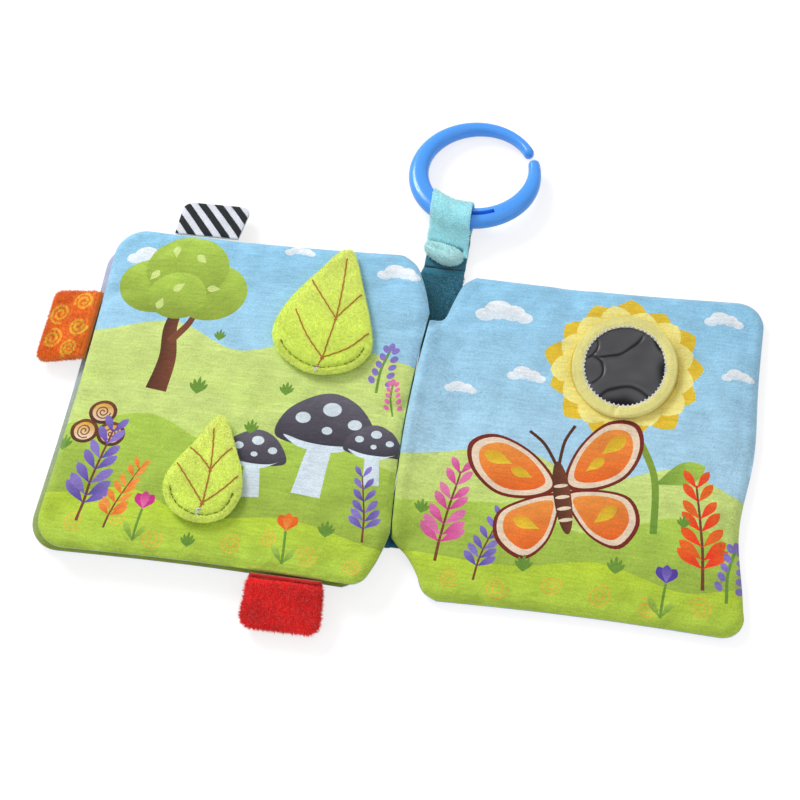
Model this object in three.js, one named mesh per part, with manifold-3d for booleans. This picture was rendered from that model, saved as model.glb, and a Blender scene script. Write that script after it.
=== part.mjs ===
// Plush cloth book for a baby, lying open at its last spread.
// Millimetres, +Z up, +X to the reader's right, +Y to the top of the pages.
// The origin is the middle of the spine's underside, on the surface that the book lies on.
import * as THREE from 'three';
import { mergeVertices } from 'three/addons/utils/BufferGeometryUtils.js';
import Module from 'manifold-3d';

const wasm = await Module();
wasm.setup();

// Cloth, seams and clearances
const CLOTH = 0.75;
const SEAM_GAP = 0.15;
const CLEARANCE = 0.3;

// Spine
const SPINE_LEFT = 6;
const SPINE_RIGHT = 11.5;
const SPINE_HALF_LENGTH = 56;
const SPINE_SHEET = 0.9;
const SPINE_RISE = 2.4;
const SPINE_LIP = 2.2;

// Covers: the front one lies on the left, the back one on the right
const COVER_HEIGHT = 158;
const FRONT_COVER_WIDTH = 156;
const FRONT_COVER_THICKNESS = 7.5;
const BACK_COVER_WIDTH = 134;
const BACK_COVER_THICKNESS = 8.5;
const COVER_SEAM_HEIGHT = 3;

// Middle page, on the front cover
const PAGE_WIDTH = 153.5;
const PAGE_HEIGHT = 162;
const PAGE_THICKNESS = 7;
const PAGE_INNER_EDGE = 3.3;
const PAGE_SHIFT = 0.8;

// Outline of every panel: round outer corners, and a neck cut towards the spine
const CORNER_RADIUS = 14;
const NECK_WIDTH = 13;
const NECK_HEIGHT = 22;
const SIDE_DRAW = 1.2;
const CROWN_REACH = 30;
const UNDERSIDE_REACH = 9;
const DOME = 0.08;
const PANEL_RINGS = [1, 0.975, 0.93, 0.86, 0.74, 0.5, 0];
const WADDING_RINGS = [0.93, 0.86, 0.74, 0.5, 0];

// Leaf flaps on the page: tip, middle of the round end, and width
const LEAF_THICKNESS = 3.8;
const LEAF_WIDEST = 0.7;
const LEAF_CROWN_REACH = 12;
const LEAF_STEPS = 13;
const LEAF_RINGS = [1, 0.93, 0.8, 0.5, 0];
const LEAF_WADDING_RINGS = [0.8, 0.5, 0];
const LARGE_LEAF = { tip: [-44.6, 78.6], foot: [-48.6, 12.9], width: 45.5 };
const SMALL_LEAF = { tip: [-85.4, -12.8], foot: [-86.4, -63], width: 35.2 };

// Mirror on the back cover
const MIRROR_CENTRE = [86.5, 36.6];
const MIRROR_RIM_OUTER = [23.2, 25.2];
const MIRROR_RIM_BAND = 5.6;
const MIRROR_TUCK = 2.4;
const MIRROR_RIM_HEIGHT = 2.3;
const MIRROR_FILM = 0.35;
const MIRROR_BACKING = 0.5;
const MIRROR_STEPS = 40;

// Toy ring: outer circle, off-centre inner circle, mouth and slot
const RING_OUTER_RADIUS = 32.3;
const RING_INNER_RADIUS = 23.4;
const RING_INNER_OFFSET = [0.5, 1.6];
const RING_THICKNESS = 7.6;
const RING_CENTRE = [6.3, 133.8];
const RING_MOUTH_ANGLE = 25.5;
const RING_MOUTH_GAP = 2.2;
const RING_TIP_DRAW = 4.2;
const RING_TIP_SPREAD = 15;
const RING_SLOT_WIDTH = 2;
const RING_SLOT_RADIUS = 26.4;
const RING_SLOT_ANGLES = [-112, -63];
const RING_STEPS = 64;
const RING_SECTION_STEPS = 12;
const RING_SECTION_POWER = 2.5;

// Strap that holds the ring
const STRAP_THICKNESS = 1.4;
const STRAP_LEFT = -11.2;
const STRAP_RIGHT = 8.4;
const STRAP_FOLD_Y = 82.7;
const STRAP_LOOP_INNER = 7.6;
const STRAP_LOOP_ENTRY = -97;
const STRAP_LOOP_EXIT = 152;
const STRAP_UPPER_START = 1.5;
const STRAP_LOOP_Y = 109.9;
const STRAP_LOOP_SKEW = -0.36;
const STRAP_STITCH_END = 95.5;
const STRAP_HEM_LENGTH = 8;
const STRAP_HEM_HEIGHT = 2.6;

// Loop tags in the page's seam: width along the seam, length, thickness, droop
const STRIPE_TAG = { width: 33, length: 22, thickness: 2, droop: 14, along: -115 };
const SWIRL_TAG = { width: 36.5, length: 25.5, thickness: 5, droop: 15, along: 29 };
const RED_TAG = { width: 33.5, length: 22.5, thickness: 5.4, droop: 16, along: -43.5 };
const TAG_CORNER = 5;
const TAG_SEAM_GAP = 0.9;
const TAG_CROWN_REACH = 5;
const TAG_RINGS = [1, 0.9, 0.72, 0];

// Heights worked out from the stack of covers, page and flaps
const PAGE_SEAM_HEIGHT = FRONT_COVER_THICKNESS + CLEARANCE + PAGE_THICKNESS / 2;
const PAGE_TOP = PAGE_SEAM_HEIGHT + PAGE_THICKNESS / 2;
const LEAF_BOTTOM = PAGE_TOP + CLEARANCE;
const LEAF_MIDDLE = LEAF_BOTTOM + LEAF_THICKNESS / 2;
const LEAF_TOP = LEAF_BOTTOM + LEAF_THICKNESS;
const MIRROR_BASE = BACK_COVER_THICKNESS + CLEARANCE;
const MIRROR_TOP = MIRROR_BASE + MIRROR_RIM_HEIGHT;

const radians = THREE.MathUtils.degToRad;

const finish = (color, roughness, metalness = 0) =>
  new THREE.MeshStandardMaterial({ color, roughness, metalness });

const FINISHES = {
  lavenderCloth: finish('#b9bfe6', 0.9),
  skyCloth: finish('#9fd0ee', 0.9),
  meadowCloth: finish('#b4d455', 0.9),
  spineCloth: finish('#3a8fa0', 0.9),
  wadding: finish('#f4f4f0', 1),
  leafPlush: finish('#b9d83a', 0.95),
  rimBinding: finish('#ede88a', 0.9),
  mirrorFilm: finish('#5a5a5a', 0.15, 0.9),
  mirrorBacking: finish('#3e3b47', 0.8),
  ringPlastic: finish('#4c9bfb', 0.25),
  strapPlush: finish('#7fd0d6', 0.95),
  strapCloth: finish('#3a7f92', 0.9),
  stripeCloth: finish('#d8dcec', 0.9),
  orangePlush: finish('#f07a28', 0.95),
  redPlush: finish('#d8201e', 0.95),
};

// One closed geometry from points and triangles
function bodyOf(points, triangles) {
  const geometry = new THREE.BufferGeometry();
  geometry.setAttribute('position', new THREE.Float32BufferAttribute(points.flat(), 3));
  geometry.setIndex(triangles.flat());
  return geometry;
}

function meshOf(name, geometry, material) {
  geometry.computeVertexNormals();
  const mesh = new THREE.Mesh(geometry, material);
  mesh.name = name;
  return mesh;
}

function solidOf(geometry) {
  const bare = geometry.clone();
  bare.deleteAttribute('normal');
  bare.deleteAttribute('uv');
  const merged = mergeVertices(bare, 1e-4);
  return new wasm.Manifold(new wasm.Mesh({
    numProp: 3,
    vertProperties: new Float32Array(merged.attributes.position.array),
    triVerts: new Uint32Array(merged.index.array),
  }));
}

function geometryOf(solid) {
  const { vertProperties, triVerts } = solid.getMesh();
  const geometry = new THREE.BufferGeometry();
  geometry.setAttribute('position', new THREE.BufferAttribute(Float32Array.from(vertProperties), 3));
  geometry.setIndex(new THREE.BufferAttribute(Uint32Array.from(triVerts), 1));
  return geometry;
}

// A sheet or pad over an anticlockwise outline. Its rings are the outline drawn in towards
// the centre; upper and lower give its height at each ring.
function padGeometry({ outline, centre, rings, upper, lower }) {
  const count = outline.length;
  const points = [];
  const triangles = [];
  const layer = (height) => {
    const first = points.length;
    for (const ring of rings.filter((value) => value > 0)) {
      for (const [x, y] of outline) {
        points.push([
          centre[0] + (x - centre[0]) * ring,
          centre[1] + (y - centre[1]) * ring,
          height(ring),
        ]);
      }
    }
    points.push([centre[0], centre[1], height(0)]);
    return first;
  };
  const top = layer(upper);
  const bottom = layer(lower);
  const bands = rings.filter((value) => value > 0).length - 1;
  for (let i = 0; i < count; i += 1) {
    const j = (i + 1) % count;
    for (let band = 0; band < bands; band += 1) {
      const outer = band * count;
      const inner = outer + count;
      triangles.push([top + outer + i, top + outer + j, top + inner + j]);
      triangles.push([top + outer + i, top + inner + j, top + inner + i]);
      triangles.push([bottom + outer + j, bottom + outer + i, bottom + inner + j]);
      triangles.push([bottom + outer + i, bottom + inner + i, bottom + inner + j]);
    }
    const last = bands * count;
    const middle = last + count;
    triangles.push([top + last + i, top + last + j, top + middle]);
    triangles.push([bottom + last + j, bottom + last + i, bottom + middle]);
    triangles.push([bottom + i, bottom + j, top + j]);
    triangles.push([bottom + i, top + j, top + i]);
  }
  return bodyOf(points, triangles);
}

// Height of a stuffed panel above its seam, from 0 at the seam to 1 at the middle
function crown(ring, halfWidth, reach) {
  const inwards = Math.min(((1 - ring) * halfWidth) / reach, 1);
  const edge = Math.sqrt(1 - (1 - inwards) ** 2);
  return edge * (1 - DOME * ring * ring);
}

// Cover or page outline: straight spine edge, neck cuts, drawn-in sides, round corners.
// inner is the spine edge's x, and side is -1 for a panel on the left and 1 on the right.
function panelOutline({ inner, width, height, shift = 0, side }) {
  const half = height / 2;
  const outer = inner + width;
  const points = [];
  const neck = new THREE.QuadraticBezierCurve(
    new THREE.Vector2(inner, -half + NECK_HEIGHT),
    new THREE.Vector2(inner + NECK_WIDTH * 0.3, -half + SIDE_DRAW * 0.5),
    new THREE.Vector2(inner + NECK_WIDTH + SIDE_DRAW, -half),
  );
  const lower = neck.getPoints(5).map((point) => [point.x, point.y]);
  const cornerX = outer - CORNER_RADIUS;
  const run = cornerX - lower.at(-1)[0];
  for (const share of [0.25, 0.5, 0.75]) {
    const drawn = SIDE_DRAW * Math.sin(Math.PI * share);
    lower.push([lower[5][0] + run * share, -half + drawn]);
  }
  for (let step = 0; step <= 4; step += 1) {
    const angle = radians(-90 + 22.5 * step);
    lower.push([
      cornerX + CORNER_RADIUS * Math.cos(angle),
      -half + CORNER_RADIUS + CORNER_RADIUS * Math.sin(angle),
    ]);
  }
  const rise = 2 * (half - CORNER_RADIUS);
  const edge = [0.25, 0.5, 0.75].map((share) => [
    outer - SIDE_DRAW * Math.sin(Math.PI * share),
    -half + CORNER_RADIUS + rise * share,
  ]);
  points.push(...lower, ...edge);
  points.push(...lower.map(([x, y]) => [x, -y]).reverse());
  const placed = points.map(([x, y]) => [side * x, y + shift]);
  return side > 0 ? placed : placed.reverse();
}

// Upper cloth, lower cloth and wadding of a stuffed panel, sewn together at its seam
function stuffedPanel({ outline, centre, halfWidth, seam, top, bottom, reach, underReach, rings,
  waddingRings, names, materials }) {
  const above = (ring) => crown(ring, halfWidth, reach);
  const below = (ring) => crown(ring, halfWidth, underReach) / (1 - DOME * ring * ring);
  const under = underReach === reach ? above : below;
  const upperTop = (ring) => seam + CLOTH + SEAM_GAP + (top - seam - CLOTH - SEAM_GAP) * above(ring);
  const upperBottom = (ring) => seam + SEAM_GAP + (top - seam - CLOTH - SEAM_GAP) * above(ring);
  const depth = seam - bottom - CLOTH - SEAM_GAP;
  const lowerTop = (ring) => seam - SEAM_GAP - depth * under(ring);
  const lowerBottom = (ring) => seam - SEAM_GAP - CLOTH - depth * under(ring);
  const sheet = (upper, lower, sheetRings) =>
    padGeometry({ outline, centre, rings: sheetRings, upper, lower });
  return [
    meshOf(names[0], sheet(upperTop, upperBottom, rings), materials[0]),
    meshOf(names[1], sheet(lowerTop, lowerBottom, rings), materials[1]),
    meshOf(names[2], sheet(
      (ring) => upperBottom(ring) - CLEARANCE,
      (ring) => lowerTop(ring) + CLEARANCE,
      waddingRings,
    ), FINISHES.wadding),
  ];
}

function frontCover() {
  return stuffedPanel({
    outline: panelOutline({
      inner: SPINE_LEFT + CLEARANCE, width: FRONT_COVER_WIDTH, height: COVER_HEIGHT, side: -1,
    }),
    centre: [-(SPINE_LEFT + FRONT_COVER_WIDTH / 2), 0],
    halfWidth: FRONT_COVER_WIDTH / 2,
    seam: COVER_SEAM_HEIGHT,
    top: FRONT_COVER_THICKNESS,
    bottom: 0,
    reach: CROWN_REACH,
    underReach: UNDERSIDE_REACH,
    rings: PANEL_RINGS,
    waddingRings: WADDING_RINGS,
    names: ['front_cover_inner_cloth', 'front_cover_outer_cloth', 'front_cover_wadding'],
    materials: [FINISHES.meadowCloth, FINISHES.lavenderCloth],
  });
}

function backCover() {
  return stuffedPanel({
    outline: panelOutline({
      inner: SPINE_RIGHT + CLEARANCE, width: BACK_COVER_WIDTH, height: COVER_HEIGHT, side: 1,
      shift: -PAGE_SHIFT,
    }),
    centre: [SPINE_RIGHT + BACK_COVER_WIDTH / 2, 0],
    halfWidth: BACK_COVER_WIDTH / 2,
    seam: COVER_SEAM_HEIGHT,
    top: BACK_COVER_THICKNESS,
    bottom: 0,
    reach: CROWN_REACH,
    underReach: UNDERSIDE_REACH,
    rings: PANEL_RINGS,
    waddingRings: WADDING_RINGS,
    names: ['back_cover_inner_cloth', 'back_cover_outer_cloth', 'back_cover_wadding'],
    materials: [FINISHES.skyCloth, FINISHES.lavenderCloth],
  });
}

function middlePage() {
  return stuffedPanel({
    outline: panelOutline({
      inner: PAGE_INNER_EDGE, width: PAGE_WIDTH, height: PAGE_HEIGHT, side: -1, shift: PAGE_SHIFT,
    }),
    centre: [-(PAGE_INNER_EDGE + PAGE_WIDTH / 2), PAGE_SHIFT],
    halfWidth: PAGE_WIDTH / 2,
    seam: PAGE_SEAM_HEIGHT,
    top: PAGE_TOP,
    bottom: PAGE_TOP - PAGE_THICKNESS,
    reach: CROWN_REACH,
    underReach: CROWN_REACH,
    rings: PANEL_RINGS,
    waddingRings: WADDING_RINGS,
    names: ['page_front_cloth', 'page_back_cloth', 'page_wadding'],
    materials: [FINISHES.skyCloth, FINISHES.meadowCloth],
  });
}

// A section in X and Z, carried along Y between two ends
function alongY(section, low, high) {
  const shape = new THREE.Shape(section.map(([x, z]) => new THREE.Vector2(x, z)));
  const geometry = new THREE.ExtrudeGeometry(shape, { depth: high - low, bevelEnabled: false });
  geometry.rotateX(Math.PI / 2);
  geometry.translate(0, high, 0);
  return geometry;
}

// A sheet's section: a line of X and Z points, thickened upwards
function sheetSection(line, thickness) {
  const back = line.map(([x, z]) => [x, z + thickness]).reverse();
  return [...line, ...back];
}

function spine() {
  const flatLeft = -SPINE_LEFT + SPINE_LIP;
  const flatRight = SPINE_RIGHT - SPINE_LIP;
  const outer = alongY(sheetSection([
    [-SPINE_LEFT, SPINE_RISE], [flatLeft, 0], [flatRight, 0], [SPINE_RIGHT, SPINE_RISE],
  ], SPINE_SHEET), -SPINE_HALF_LENGTH, SPINE_HALF_LENGTH);
  const seam = PAGE_SEAM_HEIGHT - SPINE_SHEET / 2;
  const ridge = -PAGE_INNER_EDGE + CLEARANCE;
  const slope = seam - COVER_SEAM_HEIGHT - SPINE_SHEET;
  const lip = COVER_SEAM_HEIGHT + SPINE_SHEET;
  const inner = alongY(sheetSection([
    [-SPINE_LEFT + CLEARANCE, lip],
    [ridge - 0.9, seam - slope * 0.45],
    [ridge + 0.5, seam - 0.4],
    [ridge + 2.4, seam - slope * 0.2],
    [ridge + 7, seam - slope * 0.42],
    [SPINE_RIGHT - 2.4, seam - slope * 0.72],
    [SPINE_RIGHT, lip],
  ], SPINE_SHEET), -SPINE_HALF_LENGTH, SPINE_HALF_LENGTH);
  return [
    meshOf('spine_outer_cloth', outer, FINISHES.spineCloth),
    meshOf('spine_inner_cloth', inner, FINISHES.skyCloth),
  ];
}

// Leaf outline between its tip and the middle of its round end
function leafOutline({ tip, foot, width }) {
  const [dx, dy] = [foot[0] - tip[0], foot[1] - tip[1]];
  const length = Math.hypot(dx, dy);
  const down = [dx / length, dy / length];
  const across = [-down[1], down[0]];
  const halfWidth = (share) => {
    if (share < LEAF_WIDEST) {
      return (width / 2) * Math.sin((Math.PI / 2) * (share / LEAF_WIDEST)) ** 0.9;
    }
    return (width / 2) * Math.sqrt(1 - ((share - LEAF_WIDEST) / (1 - LEAF_WIDEST)) ** 2.3);
  };
  const place = (share, offset) => [
    tip[0] + down[0] * length * share + across[0] * offset,
    tip[1] + down[1] * length * share + across[1] * offset,
  ];
  const shares = Array.from({ length: LEAF_STEPS + 1 }, (_, step) => {
    const turn = (step / LEAF_STEPS) * Math.PI;
    return (1 - Math.cos(turn)) / 2;
  });
  const right = shares.map((share) => place(share, halfWidth(share)));
  const left = shares.slice(1, -1).map((share) => place(share, -halfWidth(share))).reverse();
  const closed = [...right, ...left];
  return THREE.ShapeUtils.area(closed.map(([x, y]) => new THREE.Vector2(x, y))) > 0
    ? closed : closed.reverse();
}

function leafFlap(name, leaf) {
  return stuffedPanel({
    outline: leafOutline(leaf),
    centre: [
      leaf.tip[0] + (leaf.foot[0] - leaf.tip[0]) * LEAF_WIDEST,
      leaf.tip[1] + (leaf.foot[1] - leaf.tip[1]) * LEAF_WIDEST,
    ],
    halfWidth: leaf.width / 2,
    seam: LEAF_MIDDLE,
    top: LEAF_TOP,
    bottom: LEAF_BOTTOM,
    reach: LEAF_CROWN_REACH,
    underReach: LEAF_CROWN_REACH,
    rings: LEAF_RINGS,
    waddingRings: LEAF_WADDING_RINGS,
    names: [`${name}_front_cloth`, `${name}_back_cloth`, `${name}_wadding`],
    materials: [FINISHES.leafPlush, FINISHES.leafPlush],
  });
}

function ellipse([radiusX, radiusY], steps) {
  return Array.from({ length: steps }, (_, step) => {
    const angle = (step / steps) * 2 * Math.PI;
    return [radiusX * Math.cos(angle), radiusY * Math.sin(angle)];
  });
}

// A section of inset and height points, carried round the mirror's oval and closed
function ovalBand(section) {
  const points = [];
  const triangles = [];
  for (let step = 0; step < MIRROR_STEPS; step += 1) {
    const angle = (step / MIRROR_STEPS) * 2 * Math.PI;
    for (const [inset, height] of section) {
      points.push([
        MIRROR_CENTRE[0] + (MIRROR_RIM_OUTER[0] - inset) * Math.cos(angle),
        MIRROR_CENTRE[1] + (MIRROR_RIM_OUTER[1] - inset) * Math.sin(angle),
        height,
      ]);
    }
  }
  const count = section.length;
  for (let step = 0; step < MIRROR_STEPS; step += 1) {
    const next = (step + 1) % MIRROR_STEPS;
    for (let i = 0; i < count; i += 1) {
      const j = (i + 1) % count;
      triangles.push([step * count + i, next * count + i, next * count + j]);
      triangles.push([step * count + i, next * count + j, step * count + j]);
    }
  }
  return bodyOf(points, triangles);
}

function mirror() {
  const filmTop = MIRROR_BASE + MIRROR_BACKING + CLEARANCE + MIRROR_FILM;
  const lip = filmTop + CLEARANCE;
  const shoulder = MIRROR_RIM_BAND - MIRROR_TUCK;
  const rim = ovalBand([
    [0, MIRROR_BASE],
    [0, MIRROR_BASE + MIRROR_RIM_HEIGHT * 0.45],
    [MIRROR_RIM_BAND * 0.18, MIRROR_TOP - 0.35],
    [MIRROR_RIM_BAND * 0.45, MIRROR_TOP],
    [MIRROR_RIM_BAND * 0.8, MIRROR_TOP - 0.25],
    [MIRROR_RIM_BAND, lip + 0.3],
    [MIRROR_RIM_BAND, lip],
    [shoulder, lip],
    [shoulder, MIRROR_BASE],
  ]);
  const discOutline = ellipse(
    MIRROR_RIM_OUTER.map((radius) => radius - shoulder - CLEARANCE),
    MIRROR_STEPS,
  ).map(([x, y]) => [x + MIRROR_CENTRE[0], y + MIRROR_CENTRE[1]]);
  const disc = (low, thickness) => padGeometry({
    outline: discOutline,
    centre: MIRROR_CENTRE,
    rings: [1, 0],
    upper: () => low + thickness,
    lower: () => low,
  });
  return [
    meshOf('mirror_rim_binding', rim, FINISHES.rimBinding),
    meshOf('mirror_film', disc(filmTop - MIRROR_FILM, MIRROR_FILM), FINISHES.mirrorFilm),
    meshOf('mirror_backing', disc(MIRROR_BASE, MIRROR_BACKING), FINISHES.mirrorBacking),
  ];
}

// Ring: an arm of round section between its two tips, drawn in towards the mouth
function toyRing() {
  const gap = (RING_MOUTH_GAP / RING_SLOT_RADIUS) * THREE.MathUtils.RAD2DEG;
  const start = RING_MOUTH_ANGLE + gap / 2;
  const sweep = 360 - gap;
  const edges = (degrees) => {
    const away = Math.min(degrees - start, start + sweep - degrees);
    const drawn = RING_TIP_DRAW * Math.exp(-((away / RING_TIP_SPREAD) ** 2));
    const [cosine, sine] = [Math.cos(radians(degrees)), Math.sin(radians(degrees))];
    const along = RING_INNER_OFFSET[0] * cosine + RING_INNER_OFFSET[1] * sine;
    return [RING_OUTER_RADIUS - drawn, RING_INNER_RADIUS + along];
  };
  const stations = [];
  const tipShares = [0.35, 0.8, 1];
  const tipAngles = [0, 1.2, 3.6];
  for (let i = 0; i < 3; i += 1) {
    stations.push([start + tipAngles[i], tipShares[i]]);
  }
  const inside = sweep - 2 * tipAngles[2];
  for (let step = 1; step < RING_STEPS; step += 1) {
    stations.push([start + tipAngles[2] + (inside * step) / RING_STEPS, 1]);
  }
  for (let i = 2; i >= 0; i -= 1) {
    stations.push([start + sweep - tipAngles[i], tipShares[i]]);
  }
  const points = [];
  const triangles = [];
  const round = (value) => Math.sign(value) * Math.abs(value) ** (2 / RING_SECTION_POWER);
  for (const [degrees, share] of stations) {
    const [outer, inner] = edges(degrees);
    const middle = (outer + inner) / 2;
    const halfWidth = ((outer - inner) / 2) * share;
    for (let i = 0; i < RING_SECTION_STEPS; i += 1) {
      const turn = (i / RING_SECTION_STEPS) * 2 * Math.PI;
      const radius = middle + halfWidth * round(Math.cos(turn));
      points.push([
        radius * Math.cos(radians(degrees)),
        radius * Math.sin(radians(degrees)),
        (RING_THICKNESS / 2) * share * round(Math.sin(turn)),
      ]);
    }
  }
  const count = RING_SECTION_STEPS;
  for (let station = 0; station + 1 < stations.length; station += 1) {
    const here = station * count;
    const next = here + count;
    for (let i = 0; i < count; i += 1) {
      const j = (i + 1) % count;
      triangles.push([here + i, here + j, next + j]);
      triangles.push([here + i, next + j, next + i]);
    }
  }
  const last = (stations.length - 1) * count;
  for (let i = 1; i + 1 < count; i += 1) {
    triangles.push([0, i + 1, i]);
    triangles.push([last, last + i, last + i + 1]);
  }
  const body = solidOf(bodyOf(points, triangles.map(([a, b, c]) => [a, c, b])));
  const slot = new THREE.Shape();
  const [from, to] = RING_SLOT_ANGLES.map(radians);
  const half = RING_SLOT_WIDTH / 2;
  slot.absarc(0, 0, RING_SLOT_RADIUS + half, from, to, false);
  slot.absarc(0, 0, RING_SLOT_RADIUS - half, to, from, true);
  const cutter = new THREE.ExtrudeGeometry(slot, {
    depth: 2 * RING_THICKNESS, bevelEnabled: false, curveSegments: 8,
  });
  cutter.translate(0, 0, -RING_THICKNESS);
  const mesh = meshOf('ring', geometryOf(body.subtract(solidOf(cutter))), FINISHES.ringPlastic);
  const armY = STRAP_LOOP_Y;
  const armZ = loopHeight();
  const farEnd = RING_CENTRE[1] + RING_OUTER_RADIUS - armY;
  const tilt = Math.asin((armZ - RING_THICKNESS / 2 - CLEARANCE) / farEnd);
  const holder = new THREE.Group();
  holder.position.set(0, armY, armZ);
  holder.rotation.x = -tilt;
  mesh.position.set(RING_CENTRE[0], RING_CENTRE[1] - armY, 0);
  holder.add(mesh);
  return holder;
}

// Middle of the strap's loop, which lies on the surface
function loopHeight() {
  return STRAP_LOOP_INNER + STRAP_THICKNESS + CLEARANCE;
}

function strapAnchor() {
  const spineInside = -PAGE_INNER_EDGE;
  const right = STRAP_RIGHT - CLEARANCE;
  const outline = [
    [spineInside, SPINE_HALF_LENGTH - 9],
    [right, SPINE_HALF_LENGTH - 9],
    [right, STRAP_FOLD_Y],
    [STRAP_LEFT + 0.6, STRAP_FOLD_Y],
    [STRAP_LEFT + 3.8, STRAP_FOLD_Y - 12],
    [spineInside, SPINE_HALF_LENGTH],
  ];
  const shape = new THREE.Shape(outline.map(([x, y]) => new THREE.Vector2(x, y)));
  const geometry = new THREE.ExtrudeGeometry(shape, { depth: STRAP_THICKNESS, bevelEnabled: false });
  geometry.translate(0, 0, SPINE_SHEET + CLEARANCE);
  return meshOf('strap_anchor', geometry, FINISHES.strapCloth);
}

// Strap from its fold round the ring and back, sewn together up to STRAP_STITCH_END
function strapLoop() {
  const low = SPINE_SHEET + CLEARANCE;
  const layer = STRAP_THICKNESS;
  const centre = [STRAP_LOOP_Y, loopHeight()];
  const outer = STRAP_LOOP_INNER + STRAP_THICKNESS;
  const start = STRAP_FOLD_Y + CLEARANCE;
  const shape = new THREE.Shape();
  shape.moveTo(start, low);
  shape.lineTo(STRAP_STITCH_END, low);
  shape.absarc(centre[0], centre[1], outer, radians(STRAP_LOOP_ENTRY), radians(STRAP_LOOP_EXIT), false);
  shape.lineTo(STRAP_STITCH_END, low + 2 * layer + 0.4);
  shape.lineTo(start + STRAP_UPPER_START, low + 2 * layer);
  shape.lineTo(start + STRAP_UPPER_START, low + layer);
  shape.lineTo(start, low + layer);
  shape.closePath();
  const hole = new THREE.Path();
  const enter = radians(STRAP_LOOP_ENTRY);
  hole.moveTo(STRAP_STITCH_END + 1.5, low + layer + 0.2);
  hole.lineTo(
    centre[0] + STRAP_LOOP_INNER * Math.cos(enter),
    centre[1] + STRAP_LOOP_INNER * Math.sin(enter),
  );
  hole.absarc(centre[0], centre[1], STRAP_LOOP_INNER, enter, radians(STRAP_LOOP_EXIT), false);
  hole.closePath();
  shape.holes.push(hole);
  const width = STRAP_RIGHT - STRAP_LEFT;
  const geometry = new THREE.ExtrudeGeometry(shape, {
    depth: width, bevelEnabled: false, curveSegments: 16,
  });
  const position = geometry.attributes.position;
  const middle = (STRAP_LEFT + STRAP_RIGHT) / 2;
  for (let i = 0; i < position.count; i += 1) {
    const [y, z, x] = [position.getX(i), position.getY(i), STRAP_LEFT + position.getZ(i)];
    const share = THREE.MathUtils.smoothstep(y, STRAP_STITCH_END - 12, STRAP_LOOP_Y - outer);
    position.setXYZ(i, x, y + (x - middle) * STRAP_LOOP_SKEW * share, z);
  }
  return meshOf('strap_loop', geometry, FINISHES.strapPlush);
}

// Folded end of the strap, standing proud on its upper layer
function strapHem() {
  const bottom = SPINE_SHEET + CLEARANCE + 2 * STRAP_THICKNESS + 0.4 + CLEARANCE;
  const start = STRAP_FOLD_Y + CLEARANCE + STRAP_UPPER_START;
  const section = [
    [start, bottom],
    [start + STRAP_HEM_LENGTH, bottom],
    [start + STRAP_HEM_LENGTH, bottom + 0.6],
    [start + STRAP_HEM_LENGTH * 0.55, bottom + STRAP_HEM_HEIGHT * 0.75],
    [start + STRAP_HEM_LENGTH * 0.2, bottom + STRAP_HEM_HEIGHT],
    [start + 0.2, bottom + STRAP_HEM_HEIGHT * 0.6],
  ];
  const shape = new THREE.Shape(section.map(([y, z]) => new THREE.Vector2(y, z)));
  const inset = 0.6;
  const geometry = new THREE.ExtrudeGeometry(shape, {
    depth: STRAP_RIGHT - STRAP_LEFT - 2 * inset, bevelEnabled: false,
  });
  const position = geometry.attributes.position;
  for (let i = 0; i < position.count; i += 1) {
    const [y, z, x] = [position.getX(i), position.getY(i), position.getZ(i)];
    position.setXYZ(i, STRAP_LEFT + inset + x, y, z);
  }
  return meshOf('strap_hem', geometry, FINISHES.strapPlush);
}

// A sewn tag: local +X runs out from the seam and local Y along it, drooping from the seam
function tag(name, { width, length, thickness, droop }, seamPoint, turn, material) {
  const half = width / 2;
  const outline = [[0, -half + 1]];
  for (const sign of [-1, 1]) {
    for (let step = 0; step <= 4; step += 1) {
      const angle = radians(sign < 0 ? -90 + 22.5 * step : 22.5 * step);
      outline.push([
        length - TAG_CORNER + TAG_CORNER * Math.cos(angle),
        sign * (half - TAG_CORNER) + TAG_CORNER * Math.sin(angle),
      ]);
    }
  }
  outline.push([0, half - 1]);
  const edge = Math.min(CLOTH, thickness / 2);
  const height = (ring) =>
    edge + (thickness / 2 - edge) * crown(ring, length / 2, TAG_CROWN_REACH);
  const geometry = padGeometry({
    outline,
    centre: [length / 2, 0],
    rings: TAG_RINGS,
    upper: height,
    lower: (ring) => -height(ring),
  });
  const mesh = meshOf(name, geometry, material);
  mesh.rotation.y = radians(droop);
  const holder = new THREE.Group();
  holder.position.set(seamPoint[0], seamPoint[1], PAGE_SEAM_HEIGHT);
  holder.rotation.z = radians(turn);
  holder.add(mesh);
  return holder;
}

function tags() {
  const top = PAGE_SHIFT + PAGE_HEIGHT / 2 + TAG_SEAM_GAP - SIDE_DRAW * 0.5;
  const bottom = PAGE_SHIFT - PAGE_HEIGHT / 2 - TAG_SEAM_GAP + SIDE_DRAW * 0.5;
  const left = -(PAGE_INNER_EDGE + PAGE_WIDTH + TAG_SEAM_GAP - SIDE_DRAW * 0.5);
  return [
    tag('stripe_tag', STRIPE_TAG, [STRIPE_TAG.along, top], 90, FINISHES.stripeCloth),
    tag('swirl_tag', SWIRL_TAG, [left, SWIRL_TAG.along], 180, FINISHES.orangePlush),
    tag('red_tag', RED_TAG, [RED_TAG.along, bottom], -90, FINISHES.redPlush),
  ];
}

const book = new THREE.Group();
book.add(
  ...frontCover(),
  ...spine(),
  ...middlePage(),
  ...backCover(),
  ...mirror(),
  ...leafFlap('large_leaf', LARGE_LEAF),
  ...leafFlap('small_leaf', SMALL_LEAF),
  strapAnchor(),
  strapLoop(),
  strapHem(),
  toyRing(),
  ...tags(),
);

export default book;
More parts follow.
